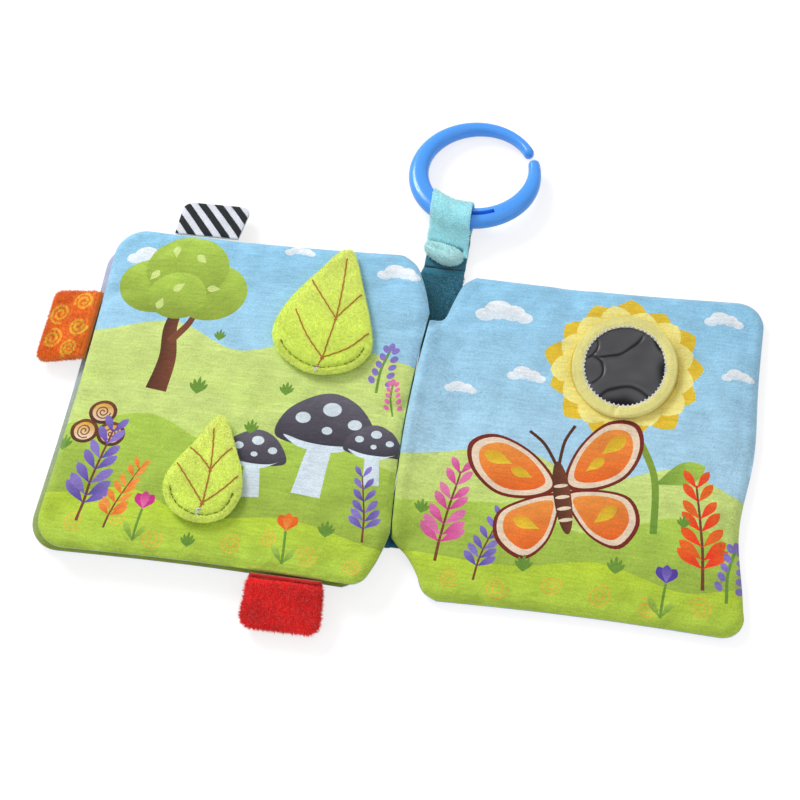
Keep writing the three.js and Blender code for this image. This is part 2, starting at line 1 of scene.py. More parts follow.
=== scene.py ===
"""Looks of a soft cloth book for a baby, lying open at its last spread.

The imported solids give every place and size. This script dresses them as stuffed, printed velour
pads with plush leaf flaps, loop tags, a film mirror and a ring on a strap. Shapes are worked out
in millimetres, in the solids' own frame, and turned into metres when a mesh is made.
"""
from __future__ import annotations

import logging
import math
from dataclasses import dataclass, field
from enum import Enum
from typing import Callable, Iterable, Sequence

import bmesh
import bpy
import numpy as np
from mathutils import Matrix, Vector, bvhtree, geometry, noise

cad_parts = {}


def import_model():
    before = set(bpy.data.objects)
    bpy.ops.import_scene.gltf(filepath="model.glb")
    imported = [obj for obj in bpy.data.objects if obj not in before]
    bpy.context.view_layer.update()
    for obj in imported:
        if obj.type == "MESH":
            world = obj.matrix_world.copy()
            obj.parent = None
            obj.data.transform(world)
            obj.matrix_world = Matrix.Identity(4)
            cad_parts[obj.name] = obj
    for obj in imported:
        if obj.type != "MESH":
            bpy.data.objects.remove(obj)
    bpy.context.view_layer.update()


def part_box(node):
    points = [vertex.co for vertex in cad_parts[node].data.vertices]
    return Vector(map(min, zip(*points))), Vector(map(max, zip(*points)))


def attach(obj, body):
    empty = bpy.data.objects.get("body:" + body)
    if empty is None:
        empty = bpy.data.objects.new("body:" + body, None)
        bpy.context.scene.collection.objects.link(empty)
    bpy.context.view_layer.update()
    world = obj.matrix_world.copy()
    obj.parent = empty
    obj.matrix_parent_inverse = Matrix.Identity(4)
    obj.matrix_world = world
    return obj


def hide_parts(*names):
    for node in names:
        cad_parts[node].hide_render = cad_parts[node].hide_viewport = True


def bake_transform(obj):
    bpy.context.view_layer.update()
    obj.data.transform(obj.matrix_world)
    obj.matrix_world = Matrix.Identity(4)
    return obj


MM = 0.001
PAD_BASE = 0.05
PAD_EDGE = 0.1
PILE_FOOT = 0.09
LOG = logging.getLogger("cloth_book")

Pair = tuple[float, float]
Place = tuple[float, float, float]
Colour = Place
Points = np.ndarray
Relief = Callable[[Points], np.ndarray]
Piece = bpy.types.Object
Material = bpy.types.Material
Socket = bpy.types.NodeSocket
Inputs = dict[str | int, object]


class Face(Enum):
    """Which way a pad's finished surface looks."""

    UP = 1
    DOWN = -1


def colour(code: str) -> Colour:
    """Return the linear colour of a hex code.

    Args:
        code: six hex digits, as a designer writes them.

    Returns:
        Red, green and blue, linear, from 0 to 1.
    """
    values = [int(code[i:i + 2], 16) / 255 for i in (0, 2, 4)]
    linear = [v / 12.92 if v <= 0.04045 else ((v + 0.055) / 1.055) ** 2.4 for v in values]
    return linear[0], linear[1], linear[2]


class Dye:
    """Colours of the cloths, the print and the plastic, and of painted shade, highlights and
    reflections.
    """

    SKY = colour("93CDEE")
    SKY_PALE = colour("C3E4F5")
    CLOUD = colour("F8FCFF")
    CLOUD_SHADE = colour("DCEBF7")
    LIME = colour("B4D455")
    LIME_PALE = colour("D3E58A")
    OLIVE = colour("8FA53C")
    FERN = colour("6F9A3A")
    GROUND = colour("BFD93A")
    GROUND_WARM = colour("E3C24A")
    BARK = colour("7A4630")
    BARK_DARK = colour("56301F")
    LEAF = colour("E6F86A")
    LEAF_EDGE = colour("EEF886")
    # Painted highlight: the leaf's rolled lip is paler, as where light catches it.
    LEAF_LIP_HIGHLIGHT = colour("EDFA7C")
    VEIN = colour("B4722F")
    SUN = colour("EBCB37")
    SUN_DEEP = colour("E2A92C")
    RIM = colour("FBF298")
    STONE = colour("6A6672")
    STONE_DARK = colour("3E3B47")
    MIST = colour("D9E6EE")
    FLAME = colour("EE6A25")
    FLAME_PALE = colour("F59A45")
    CREAM = colour("F0D9BF")
    RUST = colour("7A2A1E")
    PLUM = colour("5A45A8")
    PLUM_PALE = colour("8E7CCB")
    MAGENTA = colour("D0338C")
    PINK = colour("EB7DB2")
    LAVENDER = colour("B4BAE3")
    LAVENDER_DEEP = colour("979FD3")
    WHITE = colour("E6EAF4")
    INK = colour("1E2226")
    TEAL = colour("A8F2FF")
    # Painted highlight: the strap's hem is paler, as where light catches its roll.
    TEAL_PAINTED_HIGHLIGHT = colour("CEFCFF")
    # The spine cloth's teal; on the strap it is painted shade where the strap goes down into the
    # notch.
    TEAL_DARK = colour("367A92")
    ORANGE = colour("FF8A28")
    # Painted shade along the orange tag's seam.
    ORANGE_PAINTED_SHADE = colour("E06A18")
    AMBER = colour("FFD646")
    RED = colour("FF2A26")
    # Painted shade along the red tag's seam.
    RED_PAINTED_SHADE = colour("C01A18")
    RING = colour("469EFC")
    # Painted reflection: the film's grey is dimmed to stand in for the dark room that it reflects,
    # and the darker film colour paints dark reflections and shade on its creases and sags.
    FILM = colour("505052")
    FILM_PAINTED_SHADE = colour("161618")


# Shapes of the print, as closed outlines in millimetres


def ellipse(x: float, y: float, rx: float, ry: float, turn: float = 0.0, steps: int = 32) -> Points:
    """Return an ellipse's outline.

    Args:
        x, y: centre.
        rx: radius along its first axis.
        ry: radius along its second axis.
        turn: degrees that it is turned anticlockwise.
        steps: points round it.

    Returns:
        Outline points, anticlockwise.
    """
    angle = np.linspace(0, 2 * math.pi, steps, endpoint=False)
    flat = np.stack([rx * np.cos(angle), ry * np.sin(angle)], axis=1)
    return turned(flat, turn) + (x, y)


def turned(points: Points, degrees: float) -> Points:
    """Return points turned anticlockwise about the origin by some degrees.

    Args:
        points: points about the origin.
        degrees: angle, anticlockwise.

    Returns:
        The points after the turn.
    """
    angle = math.radians(degrees)
    matrix = np.array([[math.cos(angle), math.sin(angle)], [-math.sin(angle), math.cos(angle)]])
    return np.asarray(points, float) @ matrix


def smooth(points: Sequence[Sequence[float]], steps: int = 6, closed: bool = True) -> Points:
    """Return a smooth curve through a few points.

    Args:
        points: points that the curve passes.
        steps: points in each stretch.
        closed: whether it returns to its first point.

    Returns:
        Points of the curve.
    """
    path = np.asarray(points, float)
    count = len(path)
    out = []
    for i in range(count if closed else count - 1):
        near = [(i + k) % count if closed else min(max(i + k, 0), count - 1) for k in range(-1, 3)]
        a, b, c, d = path[near]
        for t in np.arange(steps) / steps:
            out.append(0.5 * (2 * b + (c - a) * t + (2 * a - 5 * b + 4 * c - d) * t ** 2
                              + (3 * b - a - 3 * c + d) * t ** 3))
    if not closed:
        out.append(path[-1])
    return np.array(out)


def leftwards(steps: Points) -> Points:
    """Return a unit vector to the left of each step."""
    along = steps / np.linalg.norm(steps, axis=1)[:, None]
    return np.stack([-along[:, 1], along[:, 0]], axis=1)


def facing(degrees: float) -> np.ndarray:
    """Return the unit vector at some degrees anticlockwise from X."""
    return np.array([math.cos(math.radians(degrees)), math.sin(math.radians(degrees))])


def ribbon(path: Points, width: float | Callable[[float], float]) -> Points:
    """Return the outline of a band that follows a path.

    Args:
        path: points of its middle line.
        width: its width, or a function of the share of the path.

    Returns:
        Outline points.
    """
    path = np.asarray(path, float)
    across = leftwards(np.gradient(path, axis=0))
    shares = np.linspace(0, 1, len(path))
    widths = np.array([width(s) if callable(width) else width for s in shares])[:, None]
    left = path + across * widths / 2
    right = path - across * widths / 2
    return np.concatenate([right, left[::-1]])


def spiral(x: float, y: float, radius: float, turns: float, start: float = 0.0) -> Points:
    """Return the middle line of a spiral about a point, from its middle outwards.

    Args:
        x, y: centre.
        radius: reach of its outer end.
        turns: times it goes round.
        start: angle where it starts, in radians.

    Returns:
        Points of the line.
    """
    angle = np.linspace(0, 2 * math.pi * turns, int(18 * turns))
    reach = radius * (0.12 + 0.88 * angle / angle[-1])
    return np.stack([x + reach * np.cos(angle + start), y + reach * np.sin(angle + start)], axis=1)


def petal(x: float, y: float, length: float, width: float, heading: float) -> Points:
    """Return a petal that starts at a point and is widest past its middle.

    Args:
        x, y: foot.
        length: from foot to tip.
        width: its greatest width.
        heading: where it points, in degrees.

    Returns:
        Outline points, anticlockwise.
    """
    share = np.linspace(0, 1, 13)
    half = width / 2 * np.sin(math.pi * share ** 1.5) ** 0.8
    flat = np.concatenate([
        np.stack([length * share, -half], axis=1),
        np.stack([length * share, half], axis=1)[-2:0:-1],
    ])
    return turned(flat, heading) + (x, y)


@dataclass(frozen=True)
class Patch:
    """One printed shape, which fades from one colour to another along a heading."""

    outline: Points
    start: Colour
    end: Colour | None = None
    heading: float = 90.0

    def shade(self, points: Points) -> Points:
        """Return the patch's colour at some points.

        Args:
            points: places in millimetres.

        Returns:
            One linear colour for each.
        """
        first = np.array(self.start)
        if self.end is None:
            return np.repeat(first[None], len(points), axis=0)
        way = facing(self.heading)
        reach = self.outline @ way
        share = (points @ way - reach.min()) / max(np.ptp(reach), 1e-6)
        share = np.clip(share, 0, 1)[:, None]
        return first * (1 - share) + np.array(self.end) * share


def inside(points: Points, outline: Points) -> np.ndarray:
    """Return which points lie inside a closed outline.

    Args:
        points: places to look at.
        outline: closed outline.

    Returns:
        True for each point inside.
    """
    x, y = points[:, 0][:, None], points[:, 1][:, None]
    a = outline
    b = np.roll(outline, -1, axis=0)
    crosses = (a[:, 1] > y) != (b[:, 1] > y)
    rise = np.where(b[:, 1] == a[:, 1], 1e-12, b[:, 1] - a[:, 1])
    at = a[:, 0] + (y - a[:, 1]) * (b[:, 0] - a[:, 0]) / rise
    return (crosses & (x < at)).sum(axis=1) % 2 == 1


def edge_distance(points: Points, outline: Points) -> tuple[np.ndarray, np.ndarray]:
    """Measure how far points lie from an outline.

    Args:
        points: places in millimetres.
        outline: closed outline.

    Returns:
        The distance of each point, and how far round the outline its nearest place is.
    """
    a = outline
    b = np.roll(outline, -1, axis=0)
    run = b - a
    length = np.linalg.norm(run, axis=1)
    start = np.concatenate([[0], np.cumsum(length)[:-1]])
    best = np.full(len(points), 1e9)
    place = np.zeros(len(points))
    for i in range(len(a)):
        share = np.clip(((points - a[i]) @ run[i]) / max(length[i] ** 2, 1e-12), 0, 1)
        away = np.linalg.norm(points - a[i] - share[:, None] * run[i], axis=1)
        nearer = away < best
        best[nearer] = away[nearer]
        place[nearer] = start[i] + share[nearer] * length[i]
    return best, place


def run_lengths(path: Points) -> np.ndarray:
    """Return how far along a line each of its points lies."""
    return np.concatenate([[0], np.cumsum(np.linalg.norm(np.diff(path, axis=0), axis=1))])


def along_line(path: Points, count: int, to_end: bool) -> Points:
    """Return evenly spaced places on a line.

    Args:
        path: points of the line.
        count: number of places.
        to_end: whether the last place is the line's end.

    Returns:
        The places.
    """
    run = run_lengths(path)
    at = np.linspace(0, run[-1], count, endpoint=to_end)
    return np.stack([np.interp(at, run, values) for values in path.T], axis=1)


def evenly(outline: Points, spacing: float) -> Points:
    """Return a closed outline with evenly spaced points.

    Args:
        outline: its points, the last of which isn't the first again.
        spacing: distance between the new points in millimetres.

    Returns:
        The new points.
    """
    loop = np.concatenate([outline, outline[:1]])
    count = max(int(run_lengths(loop)[-1] / spacing), 8)
    return along_line(loop, count, False)


def evenly_open(path: Points, spacing: float) -> Points:
    """Return an open line with evenly spaced points.

    Args:
        path: its points.
        spacing: distance between the new points in millimetres.

    Returns:
        The new points, from its first to its last.
    """
    return along_line(path, max(int(run_lengths(path)[-1] / spacing), 3), True)


def drawn_in(outline: Points, distance: float) -> Points:
    """Return an anticlockwise outline moved inwards by a distance.

    Args:
        outline: closed outline.
        distance: how far it moves, in millimetres.

    Returns:
        The moved outline.
    """
    ahead = np.roll(outline, -1, axis=0) - np.roll(outline, 1, axis=0)
    return outline + leftwards(ahead) * distance


def anticlockwise(outline: Points) -> Points:
    """Return a closed outline that runs anticlockwise.

    Args:
        outline: closed outline, either way round.

    Returns:
        The same points, turned round if need be.
    """
    ahead = np.roll(outline, -1, axis=0)
    area = (outline[:, 0] * ahead[:, 1] - outline[:, 1] * ahead[:, 0]).sum()
    return outline if area > 0 else outline[::-1].copy()


def ripple(x: float, y: float, seed: float) -> float:
    """Return smooth noise between about -1 and 1 at a place."""
    return noise.noise(Vector((x, y, seed)))


def make_mesh(name: str, points: Iterable[Sequence[float]], faces: Iterable[Sequence[int]],
              smooth_shading: bool = True) -> Piece:
    """Make a linked mesh object from points in millimetres.

    Args:
        name: the piece's name.
        points: places in millimetres.
        faces: corners of each face.
        smooth_shading: whether its faces are shaded smooth.

    Returns:
        The new object, at the origin.
    """
    mesh = bpy.data.meshes.new(name)
    scaled = [(p[0] * MM, p[1] * MM, p[2] * MM) for p in points]
    mesh.from_pydata(scaled, [], [list(map(int, face)) for face in faces])
    mesh.update()
    if smooth_shading:
        mesh.shade_smooth()
    piece = bpy.data.objects.new(name, mesh)
    bpy.context.scene.collection.objects.link(piece)
    return piece


def swept(name: str, sections: Sequence[Sequence[Sequence[float]]],
          material: Material, closed: bool = False) -> Piece:
    """Join sections of equally many points into a closed piece.

    Args:
        name: the piece's name.
        sections: points of each section in millimetres.
        material: its finish.
        closed: whether the last section joins the first, or both ends are capped.

    Returns:
        The piece, with its faces outwards.
    """
    count, total = len(sections[0]), len(sections)
    faces: list[tuple[int, ...]] = []
    for i in range(total if closed else total - 1):
        a, b = i * count, (i + 1) % total * count
        faces += [(a + k, b + k, b + (k + 1) % count, a + (k + 1) % count) for k in range(count)]
    if not closed:
        faces.append(tuple(range(count)))
        faces.append(tuple(range((total - 1) * count, total * count))[::-1])
    piece = make_mesh(name, [point for section in sections for point in section], faces)
    set_outwards(piece)
    piece.data.materials.append(material)
    return piece


def paint(piece: Piece, corner_colours: Points) -> None:
    """Store one linear colour for each face corner in the attribute named print.

    Args:
        piece: a mesh.
        corner_colours: a colour for each face corner.
    """
    layer = piece.data.color_attributes.new("print", "FLOAT_COLOR", "CORNER")
    rgba = np.ones((len(corner_colours), 4), np.float32)
    rgba[:, :3] = corner_colours
    layer.data.foreach_set("color", rgba.ravel())


class Nodes:
    """A short way to write a node tree."""

    def __init__(self, tree: bpy.types.NodeTree) -> None:
        """Empty the tree."""
        tree.nodes.clear()
        self.tree = tree

    def add(self, kind: str, inputs: Inputs | None = None, **values: object) -> bpy.types.Node:
        """Add a node.

        Args:
            kind: its Blender type.
            inputs: the socket that feeds an input, or the input's own value.
            values: properties of the node.

        Returns:
            The node.
        """
        node = self.tree.nodes.new(kind)
        for key, value in values.items():
            setattr(node, key, value)
        for key, value in (inputs or {}).items():
            if isinstance(value, Socket):
                self.tree.links.new(value, node.inputs[key])
            else:
                node.inputs[key].default_value = value
        return node

    def take(self, kind: str, output: str | int, inputs: Inputs | None = None,
             **values: object) -> Socket:
        """Add a node and return one of its outputs.

        Args:
            kind: its Blender type.
            output: name or number of the output.
            inputs: as in add.
            values: as in add.

        Returns:
            The output.
        """
        return self.add(kind, inputs, **values).outputs[output]

    def math(self, operation: str, *terms: object, clamp: bool = False) -> Socket:
        """Return the result of a Math node on some terms."""
        return self.take("ShaderNodeMath", 0, dict(enumerate(terms)), operation=operation,
                         use_clamp=clamp)

    def seen(self) -> Socket:
        """Return 1 for rays from the camera or off a glossy surface, and 0 for the rest."""
        ray = self.add("ShaderNodeLightPath").outputs
        return self.math("MAXIMUM", ray["Is Camera Ray"], ray["Is Glossy Ray"])


class FinishNodes(Nodes):
    """The node tree of a finish's material."""

    def __init__(self, name: str, tint: Colour | None) -> None:
        """Start the tree with its base colour.

        Args:
            name: the material's name.
            tint: its colour, or None for the colours of the print.
        """
        self.material = bpy.data.materials.new(name)
        self.material.use_nodes = True
        super().__init__(self.material.node_tree)
        if tint is None:
            self.base = self.take("ShaderNodeAttribute", "Color", attribute_name="print")
        else:
            self.base = self.take("ShaderNodeRGB", "Color")
            self.base.default_value = (*tint, 1)

    def place(self) -> Socket:
        """Return the Object coordinates of the piece."""
        return self.take("ShaderNodeTexCoord", "Object")

    def noise(self, scale: float, detail: float = 2.0, rough: float = 0.5,
              place: Socket | None = None) -> Socket:
        """Return a noise value.

        Args:
            scale: one over the size of its features in metres.
            detail: how many finer noises are added.
            rough: strength of the finer ones.
            place: where it is read, or None for the piece's Object coordinates.

        Returns:
            The value.
        """
        return self.take("ShaderNodeTexNoise", "Fac", {
            "Scale": scale, "Detail": detail, "Roughness": rough, "Vector": place or self.place()})

    def streaks(self, scale: float) -> Socket:
        """Return a noise drawn out along X, as in cloth that is brushed that way.

        Args:
            scale: one over the width of a streak in metres.

        Returns:
            The noise value.
        """
        stretched = self.take("ShaderNodeMapping", "Vector", {
            "Scale": (0.12, 1.0, 1.0), "Vector": self.place()})
        return self.noise(scale, 3.0, 0.6, stretched)

    def bump(self, height: Socket, distance: float, strength: float,
             under: Socket | None = None) -> Socket:
        """Return a normal bent by a height, over another one if it is given.

        Args:
            height: the height's value.
            distance: its depth in metres.
            strength: share of its full effect.
            under: normal that is bent further.

        Returns:
            The normal.
        """
        inputs = {"Distance": distance, "Strength": strength, "Height": height}
        if under is not None:
            inputs["Normal"] = under
        return self.take("ShaderNodeBump", "Normal", inputs)

    def varied(self, base: Socket, by: Socket,
               low: float, high: float) -> Socket:
        """Return a colour made darker and lighter by a noise.

        Args:
            base: the colour.
            by: the noise, whose values from 0.3 to 0.7 are used.
            low: brightness where the noise is low.
            high: brightness where it is high.

        Returns:
            The new colour.
        """
        spread = self.take("ShaderNodeMapRange", "Result", {
            "Value": by, "From Min": 0.3, "From Max": 0.7, "To Min": low, "To Max": high})
        return self.take("ShaderNodeHueSaturation", "Color", {"Value": spread, "Color": base})

    def finished(self, **inputs: object) -> Material:
        """Add a Principled shader and finish the material.

        Args:
            inputs: values or sockets for the shader's inputs.

        Returns:
            The material.
        """
        named = {key.replace("_", " "): value for key, value in inputs.items()}
        shader = self.take("ShaderNodeBsdfPrincipled", "BSDF", named)
        self.add("ShaderNodeOutputMaterial", {"Surface": shader})
        return self.material


def paint_points(piece: Piece, point_colours: Points) -> None:
    """Store one linear colour for each of a piece's points in the attribute named print.

    Args:
        piece: a mesh.
        point_colours: a colour for each of its points.
    """
    corners = np.zeros(len(piece.data.loops), np.int32)
    piece.data.loops.foreach_get("vertex_index", corners)
    paint(piece, point_colours[corners])


@dataclass(frozen=True)
class ClothFinish:
    """A cloth: short-pile velour, plush or woven, in one colour or in the print's."""

    name: str
    tint: Colour | None = None
    pile: float = 1400.0
    depth: float = 0.00035
    sheen: float = 0.35
    mottle: Pair = (0.9, 1.08)
    weave: float = 0.0
    brushed: float = 0.0

    def make(self) -> Material:
        """Build the finish's nodes.

        Returns:
            The material.
        """
        nodes = FinishNodes(self.name, self.tint)
        fine = nodes.noise(self.pile, 3.0, 0.65)
        tinted = nodes.varied(nodes.base, nodes.noise(90.0), *self.mottle)
        tinted = nodes.varied(tinted, fine, 0.86, 1.12)
        if self.brushed:
            tinted = nodes.varied(tinted, nodes.streaks(self.brushed), 0.9, 1.1)
        normal = nodes.bump(nodes.noise(self.pile * 0.35), self.depth * 1.6, 0.7)
        normal = nodes.bump(fine, self.depth, 0.9, normal)
        if self.weave:
            wave = nodes.take("ShaderNodeTexWave", "Fac", {
                "Vector": nodes.place(), "Scale": self.weave}, bands_direction="Y")
            normal = nodes.bump(wave, 0.00012, 0.6, normal)
        return nodes.finished(Base_Color=tinted, Normal=normal, Roughness=0.92,
                              Sheen_Weight=self.sheen, Sheen_Roughness=0.45,
                              Specular_IOR_Level=0.2)


@dataclass(frozen=True)
class GlossFinish:
    """Smooth plastic or film."""

    name: str
    tint: Colour | None
    roughness: float
    metallic: float = 0.0
    ripple_scale: float = 60.0
    ripple_depth: float = 0.0

    def make(self) -> Material:
        """Build the finish's nodes.

        Returns:
            The material.
        """
        nodes = FinishNodes(self.name, self.tint)
        tinted = nodes.varied(nodes.base, nodes.noise(self.ripple_scale), 0.96, 1.04)
        inputs = {"Base_Color": tinted, "Roughness": self.roughness, "Metallic": self.metallic}
        if self.ripple_depth:
            height = nodes.noise(self.ripple_scale, 3.0)
            inputs["Normal"] = nodes.bump(height, self.ripple_depth, 0.6)
        return nodes.finished(**inputs)


class Workshop:
    """Every finish's material and the trees for fibres and stitches, made once."""

    def __init__(self) -> None:
        """Make the materials and the trees."""
        self.fibres = FibreTree()
        self.stitches = StitchTree()
        self.printed = ClothFinish("printed_velour", brushed=900.0).make()
        self.leaf = ClothFinish("lime_plush", pile=900.0, depth=0.0003, sheen=0.5).make()
        self.leaf_pile = ClothFinish("lime_pile", pile=600.0, depth=0.0, sheen=0.8,
                                     mottle=(1.0, 1.12)).make()
        # Painted shade: dark olive thread stands in for the shade in the leaf's slit.
        self.slit_shade = ClothFinish("slit_shade_thread", colour("4A5A20"), pile=2600.0, depth=0.0).make()
        self.plush = ClothFinish("tag_plush", pile=800.0, depth=0.0006, sheen=0.5).make()
        self.stripe = ClothFinish("striped_cloth", pile=2500.0, depth=0.0001, sheen=0.1,
                                  weave=1500.0).make()
        self.spine = ClothFinish("teal_cloth", Dye.TEAL_DARK, sheen=0.3).make()
        self.strap = ClothFinish("teal_plush", pile=900.0, depth=0.0005, sheen=0.5).make()
        # Painted shade: darker teal plush and pile for the strap where it goes down into the notch.
        self.strap_painted_shade = ClothFinish("dark_teal_plush", Dye.TEAL_DARK, pile=900.0,
                                      depth=0.0004).make()
        self.strap_pile = ClothFinish("teal_pile", colour("D8FFFF"), pile=600.0, depth=0.0,
                                      sheen=0.8).make()
        self.strap_painted_shade_pile = ClothFinish("dark_teal_pile", colour("448FA6"), pile=600.0,
                                           depth=0.0, sheen=0.6).make()
        self.binding = ClothFinish("pale_binding", Dye.RIM, pile=2200.0, depth=0.0002,
                                   sheen=0.2, weave=1800.0).make()
        self.thread = ClothFinish("brown_thread", Dye.VEIN, pile=2600.0, depth=0.0002,
                                  sheen=0.2).make()
        self.white_thread = ClothFinish("white_thread", Dye.WHITE, pile=2600.0,
                                        depth=0.0001).make()
        self.film = GlossFinish("mirror_film", None, 0.34, 0.85).make()
        self.ring = GlossFinish("ring_plastic", Dye.RING, 0.22, 0.0, 25.0, 0.0002).make()


def triangulate(outline: Points, patches: Sequence[Patch], spacing: float,
                rings: Sequence[float]) -> tuple[Points, np.ndarray]:
    """Fill an outline with triangles that follow every printed shape's edge.

    Args:
        outline: anticlockwise outline in millimetres.
        patches: printed shapes.
        spacing: distance between the points that carry the relief.
        rings: distances from the outline at which rows of points follow it.

    Returns:
        The points, and three point numbers for each triangle.
    """
    points: list[Points] = []
    edges: list[tuple[int, int]] = []
    count = 0

    def add_loop(loop: Points) -> None:
        """Add a closed loop's points, and the edges that the triangles keep to.

        Args:
            loop: places in millimetres.
        """
        nonlocal count
        points.append(loop)
        edges.extend((count + i, count + (i + 1) % len(loop)) for i in range(len(loop)))
        count += len(loop)

    add_loop(outline)
    for patch in patches:
        add_loop(patch.outline)
    for ring in rings:
        points.append(drawn_in(outline, ring))
    low, high = outline.min(axis=0), outline.max(axis=0)
    columns = np.arange(low[0], high[0], spacing)
    rows = np.arange(low[1], high[1], spacing * 0.87)
    grid = np.array([(x + spacing / 2 * (j % 2), y) for j, y in enumerate(rows) for x in columns])
    deep = (max(rings) if rings else 0) + spacing * 0.5
    grid = grid[inside(grid, outline)]
    away, _ = edge_distance(grid, outline)
    points.append(grid[away > deep])
    cloud = np.concatenate(points)
    found = geometry.delaunay_2d_cdt([Vector(p) for p in cloud], edges, [], 0, 1e-5, False)
    flat = np.array([tuple(v) for v in found[0]])
    triangles = np.array([face for face in found[2] if len(face) == 3])
    triangles = triangles[inside(flat[triangles].mean(axis=1), outline)]
    used, numbers = np.unique(triangles, return_inverse=True)
    return flat[used], numbers.reshape(-1, 3)


@dataclass
class Puffing:
    """A cloth simulation that fills a sewn pad from inside and keeps what its front does.

    The pad is simulated at fifty times its size, where cloth settles within a few frames. Its
    height above the mean height at the same distance from the seam makes the detail: the gathers
    along the seam, the slack corners and the soft bulges between them.
    """

    outline: Points
    spacing: float = 4.0
    gain: float = 0.45
    limit: float = 1.3
    pressure: float = 4.0
    growth: float = 0.05
    frames: int = 20
    scale: float = 0.02

    def run(self) -> Relief:
        """Simulate the pad.

        Returns:
            A function that gives the detail's height at points, in millimetres.
        """
        flat, triangles = triangulate(self.outline, [], self.spacing, (self.spacing * 0.6,))
        pad, seam = self._pad(flat, triangles)
        self._simulate(pad, seam)
        surface = bpy.context.evaluated_depsgraph_get()
        settled = pad.evaluated_get(surface).to_mesh()
        places = np.array([v.co[:] for v in settled.vertices]) / self.scale
        corners = [tuple(face.vertices) for face in settled.polygons]
        pad.evaluated_get(surface).to_mesh_clear()
        mesh = pad.data
        bpy.data.objects.remove(pad)
        bpy.data.meshes.remove(mesh)
        tree = bvhtree.BVHTree.FromPolygons([tuple(p) for p in places], corners)
        away = edge_distance(flat, self.outline)[0]
        heights = self._heights(tree, flat)
        steps = np.arange(0, away.max() + 3, 3.0)
        means = [heights[np.abs(away - step) < 3].mean() for step in steps]
        rest = heights - np.interp(away, steps, means)
        unit = self.gain / max(float(np.std(rest)), 1e-6)
        LOG.info("puffed pad: mean %.1f mm, spread %.2f mm", heights.mean(), np.std(rest))

        def detail(points: Points) -> np.ndarray:
            """Find the height over the mean, evened out and capped.

            Args:
                points: places in millimetres.

            Returns:
                A height for each place.
            """
            near = edge_distance(points, self.outline)[0]
            raw = (self._heights(tree, points) - np.interp(near, steps, means)) * unit
            return np.tanh(raw / self.limit) * self.limit * np.clip(near / 2.5, 0, 1)

        return detail

    def _pad(self, flat: Points, triangles: np.ndarray) -> tuple[Piece, list[int]]:
        """Make the closed pad that is simulated, and list the points of its seam.

        Args:
            flat: points of the flat cloth.
            triangles: its triangles.

        Returns:
            The pad, and the numbers of its seam's points.
        """
        away = edge_distance(flat, self.outline)[0]
        seam = (away < 0.02).nonzero()[0].tolist()
        rise = 2.0 * np.clip(away / 12, 0, 1) ** 0.5
        rise += 0.25 * np.array([ripple(x / 9, y / 9, self.spacing) for x, y in flat])
        rise[seam] = 0
        back = np.arange(len(flat)) + len(flat)
        back[seam] = seam
        places = np.concatenate([
            np.column_stack([flat, rise]), np.column_stack([flat, -rise]),
        ]) * (self.scale / MM)
        faces = np.concatenate([triangles, back[triangles[:, ::-1]]])
        used, numbers = np.unique(faces, return_inverse=True)
        pad = make_mesh("puffed_pad", places[used], numbers.reshape(-1, 3))
        return pad, np.isin(used, seam).nonzero()[0].tolist()

    def _simulate(self, pad: Piece, seam: list[int]) -> None:
        """Run the cloth, held at its seam, under pressure from inside.

        Args:
            pad: the closed pad.
            seam: numbers of its seam's points.
        """
        group = pad.vertex_groups.new(name="seam")
        group.add(seam, 1.0, "REPLACE")
        cloth = pad.modifiers.new("cloth", "CLOTH")
        settings = cloth.settings
        settings.quality = 5
        settings.mass = 0.2
        settings.vertex_group_mass = "seam"
        settings.tension_stiffness = 15
        settings.compression_stiffness = 15
        settings.bending_stiffness = 0.4
        settings.shrink_min = -self.growth
        settings.use_pressure = True
        settings.uniform_pressure_force = self.pressure
        settings.effector_weights.gravity = 0
        cloth.point_cache.frame_start = 1
        cloth.point_cache.frame_end = self.frames
        pad.modifiers.new("round", "SUBSURF").levels = 1
        scene = bpy.context.scene
        for frame in range(1, self.frames + 1):
            scene.frame_set(frame)

    @staticmethod
    def _heights(tree: bvhtree.BVHTree, points: Points) -> np.ndarray:
        """Return the simulated front's height at points, and zero beyond it.

        Args:
            tree: the simulated surface.
            points: where it is read.

        Returns:
            A height for each point, in the surface's millimetres.
        """
        heights = np.zeros(len(points))
        for i, (x, y) in enumerate(points):
            place = tree.ray_cast((x, y, 500.0), (0, 0, -1))[0]
            if place is not None:
                heights[i] = place.z
        return heights


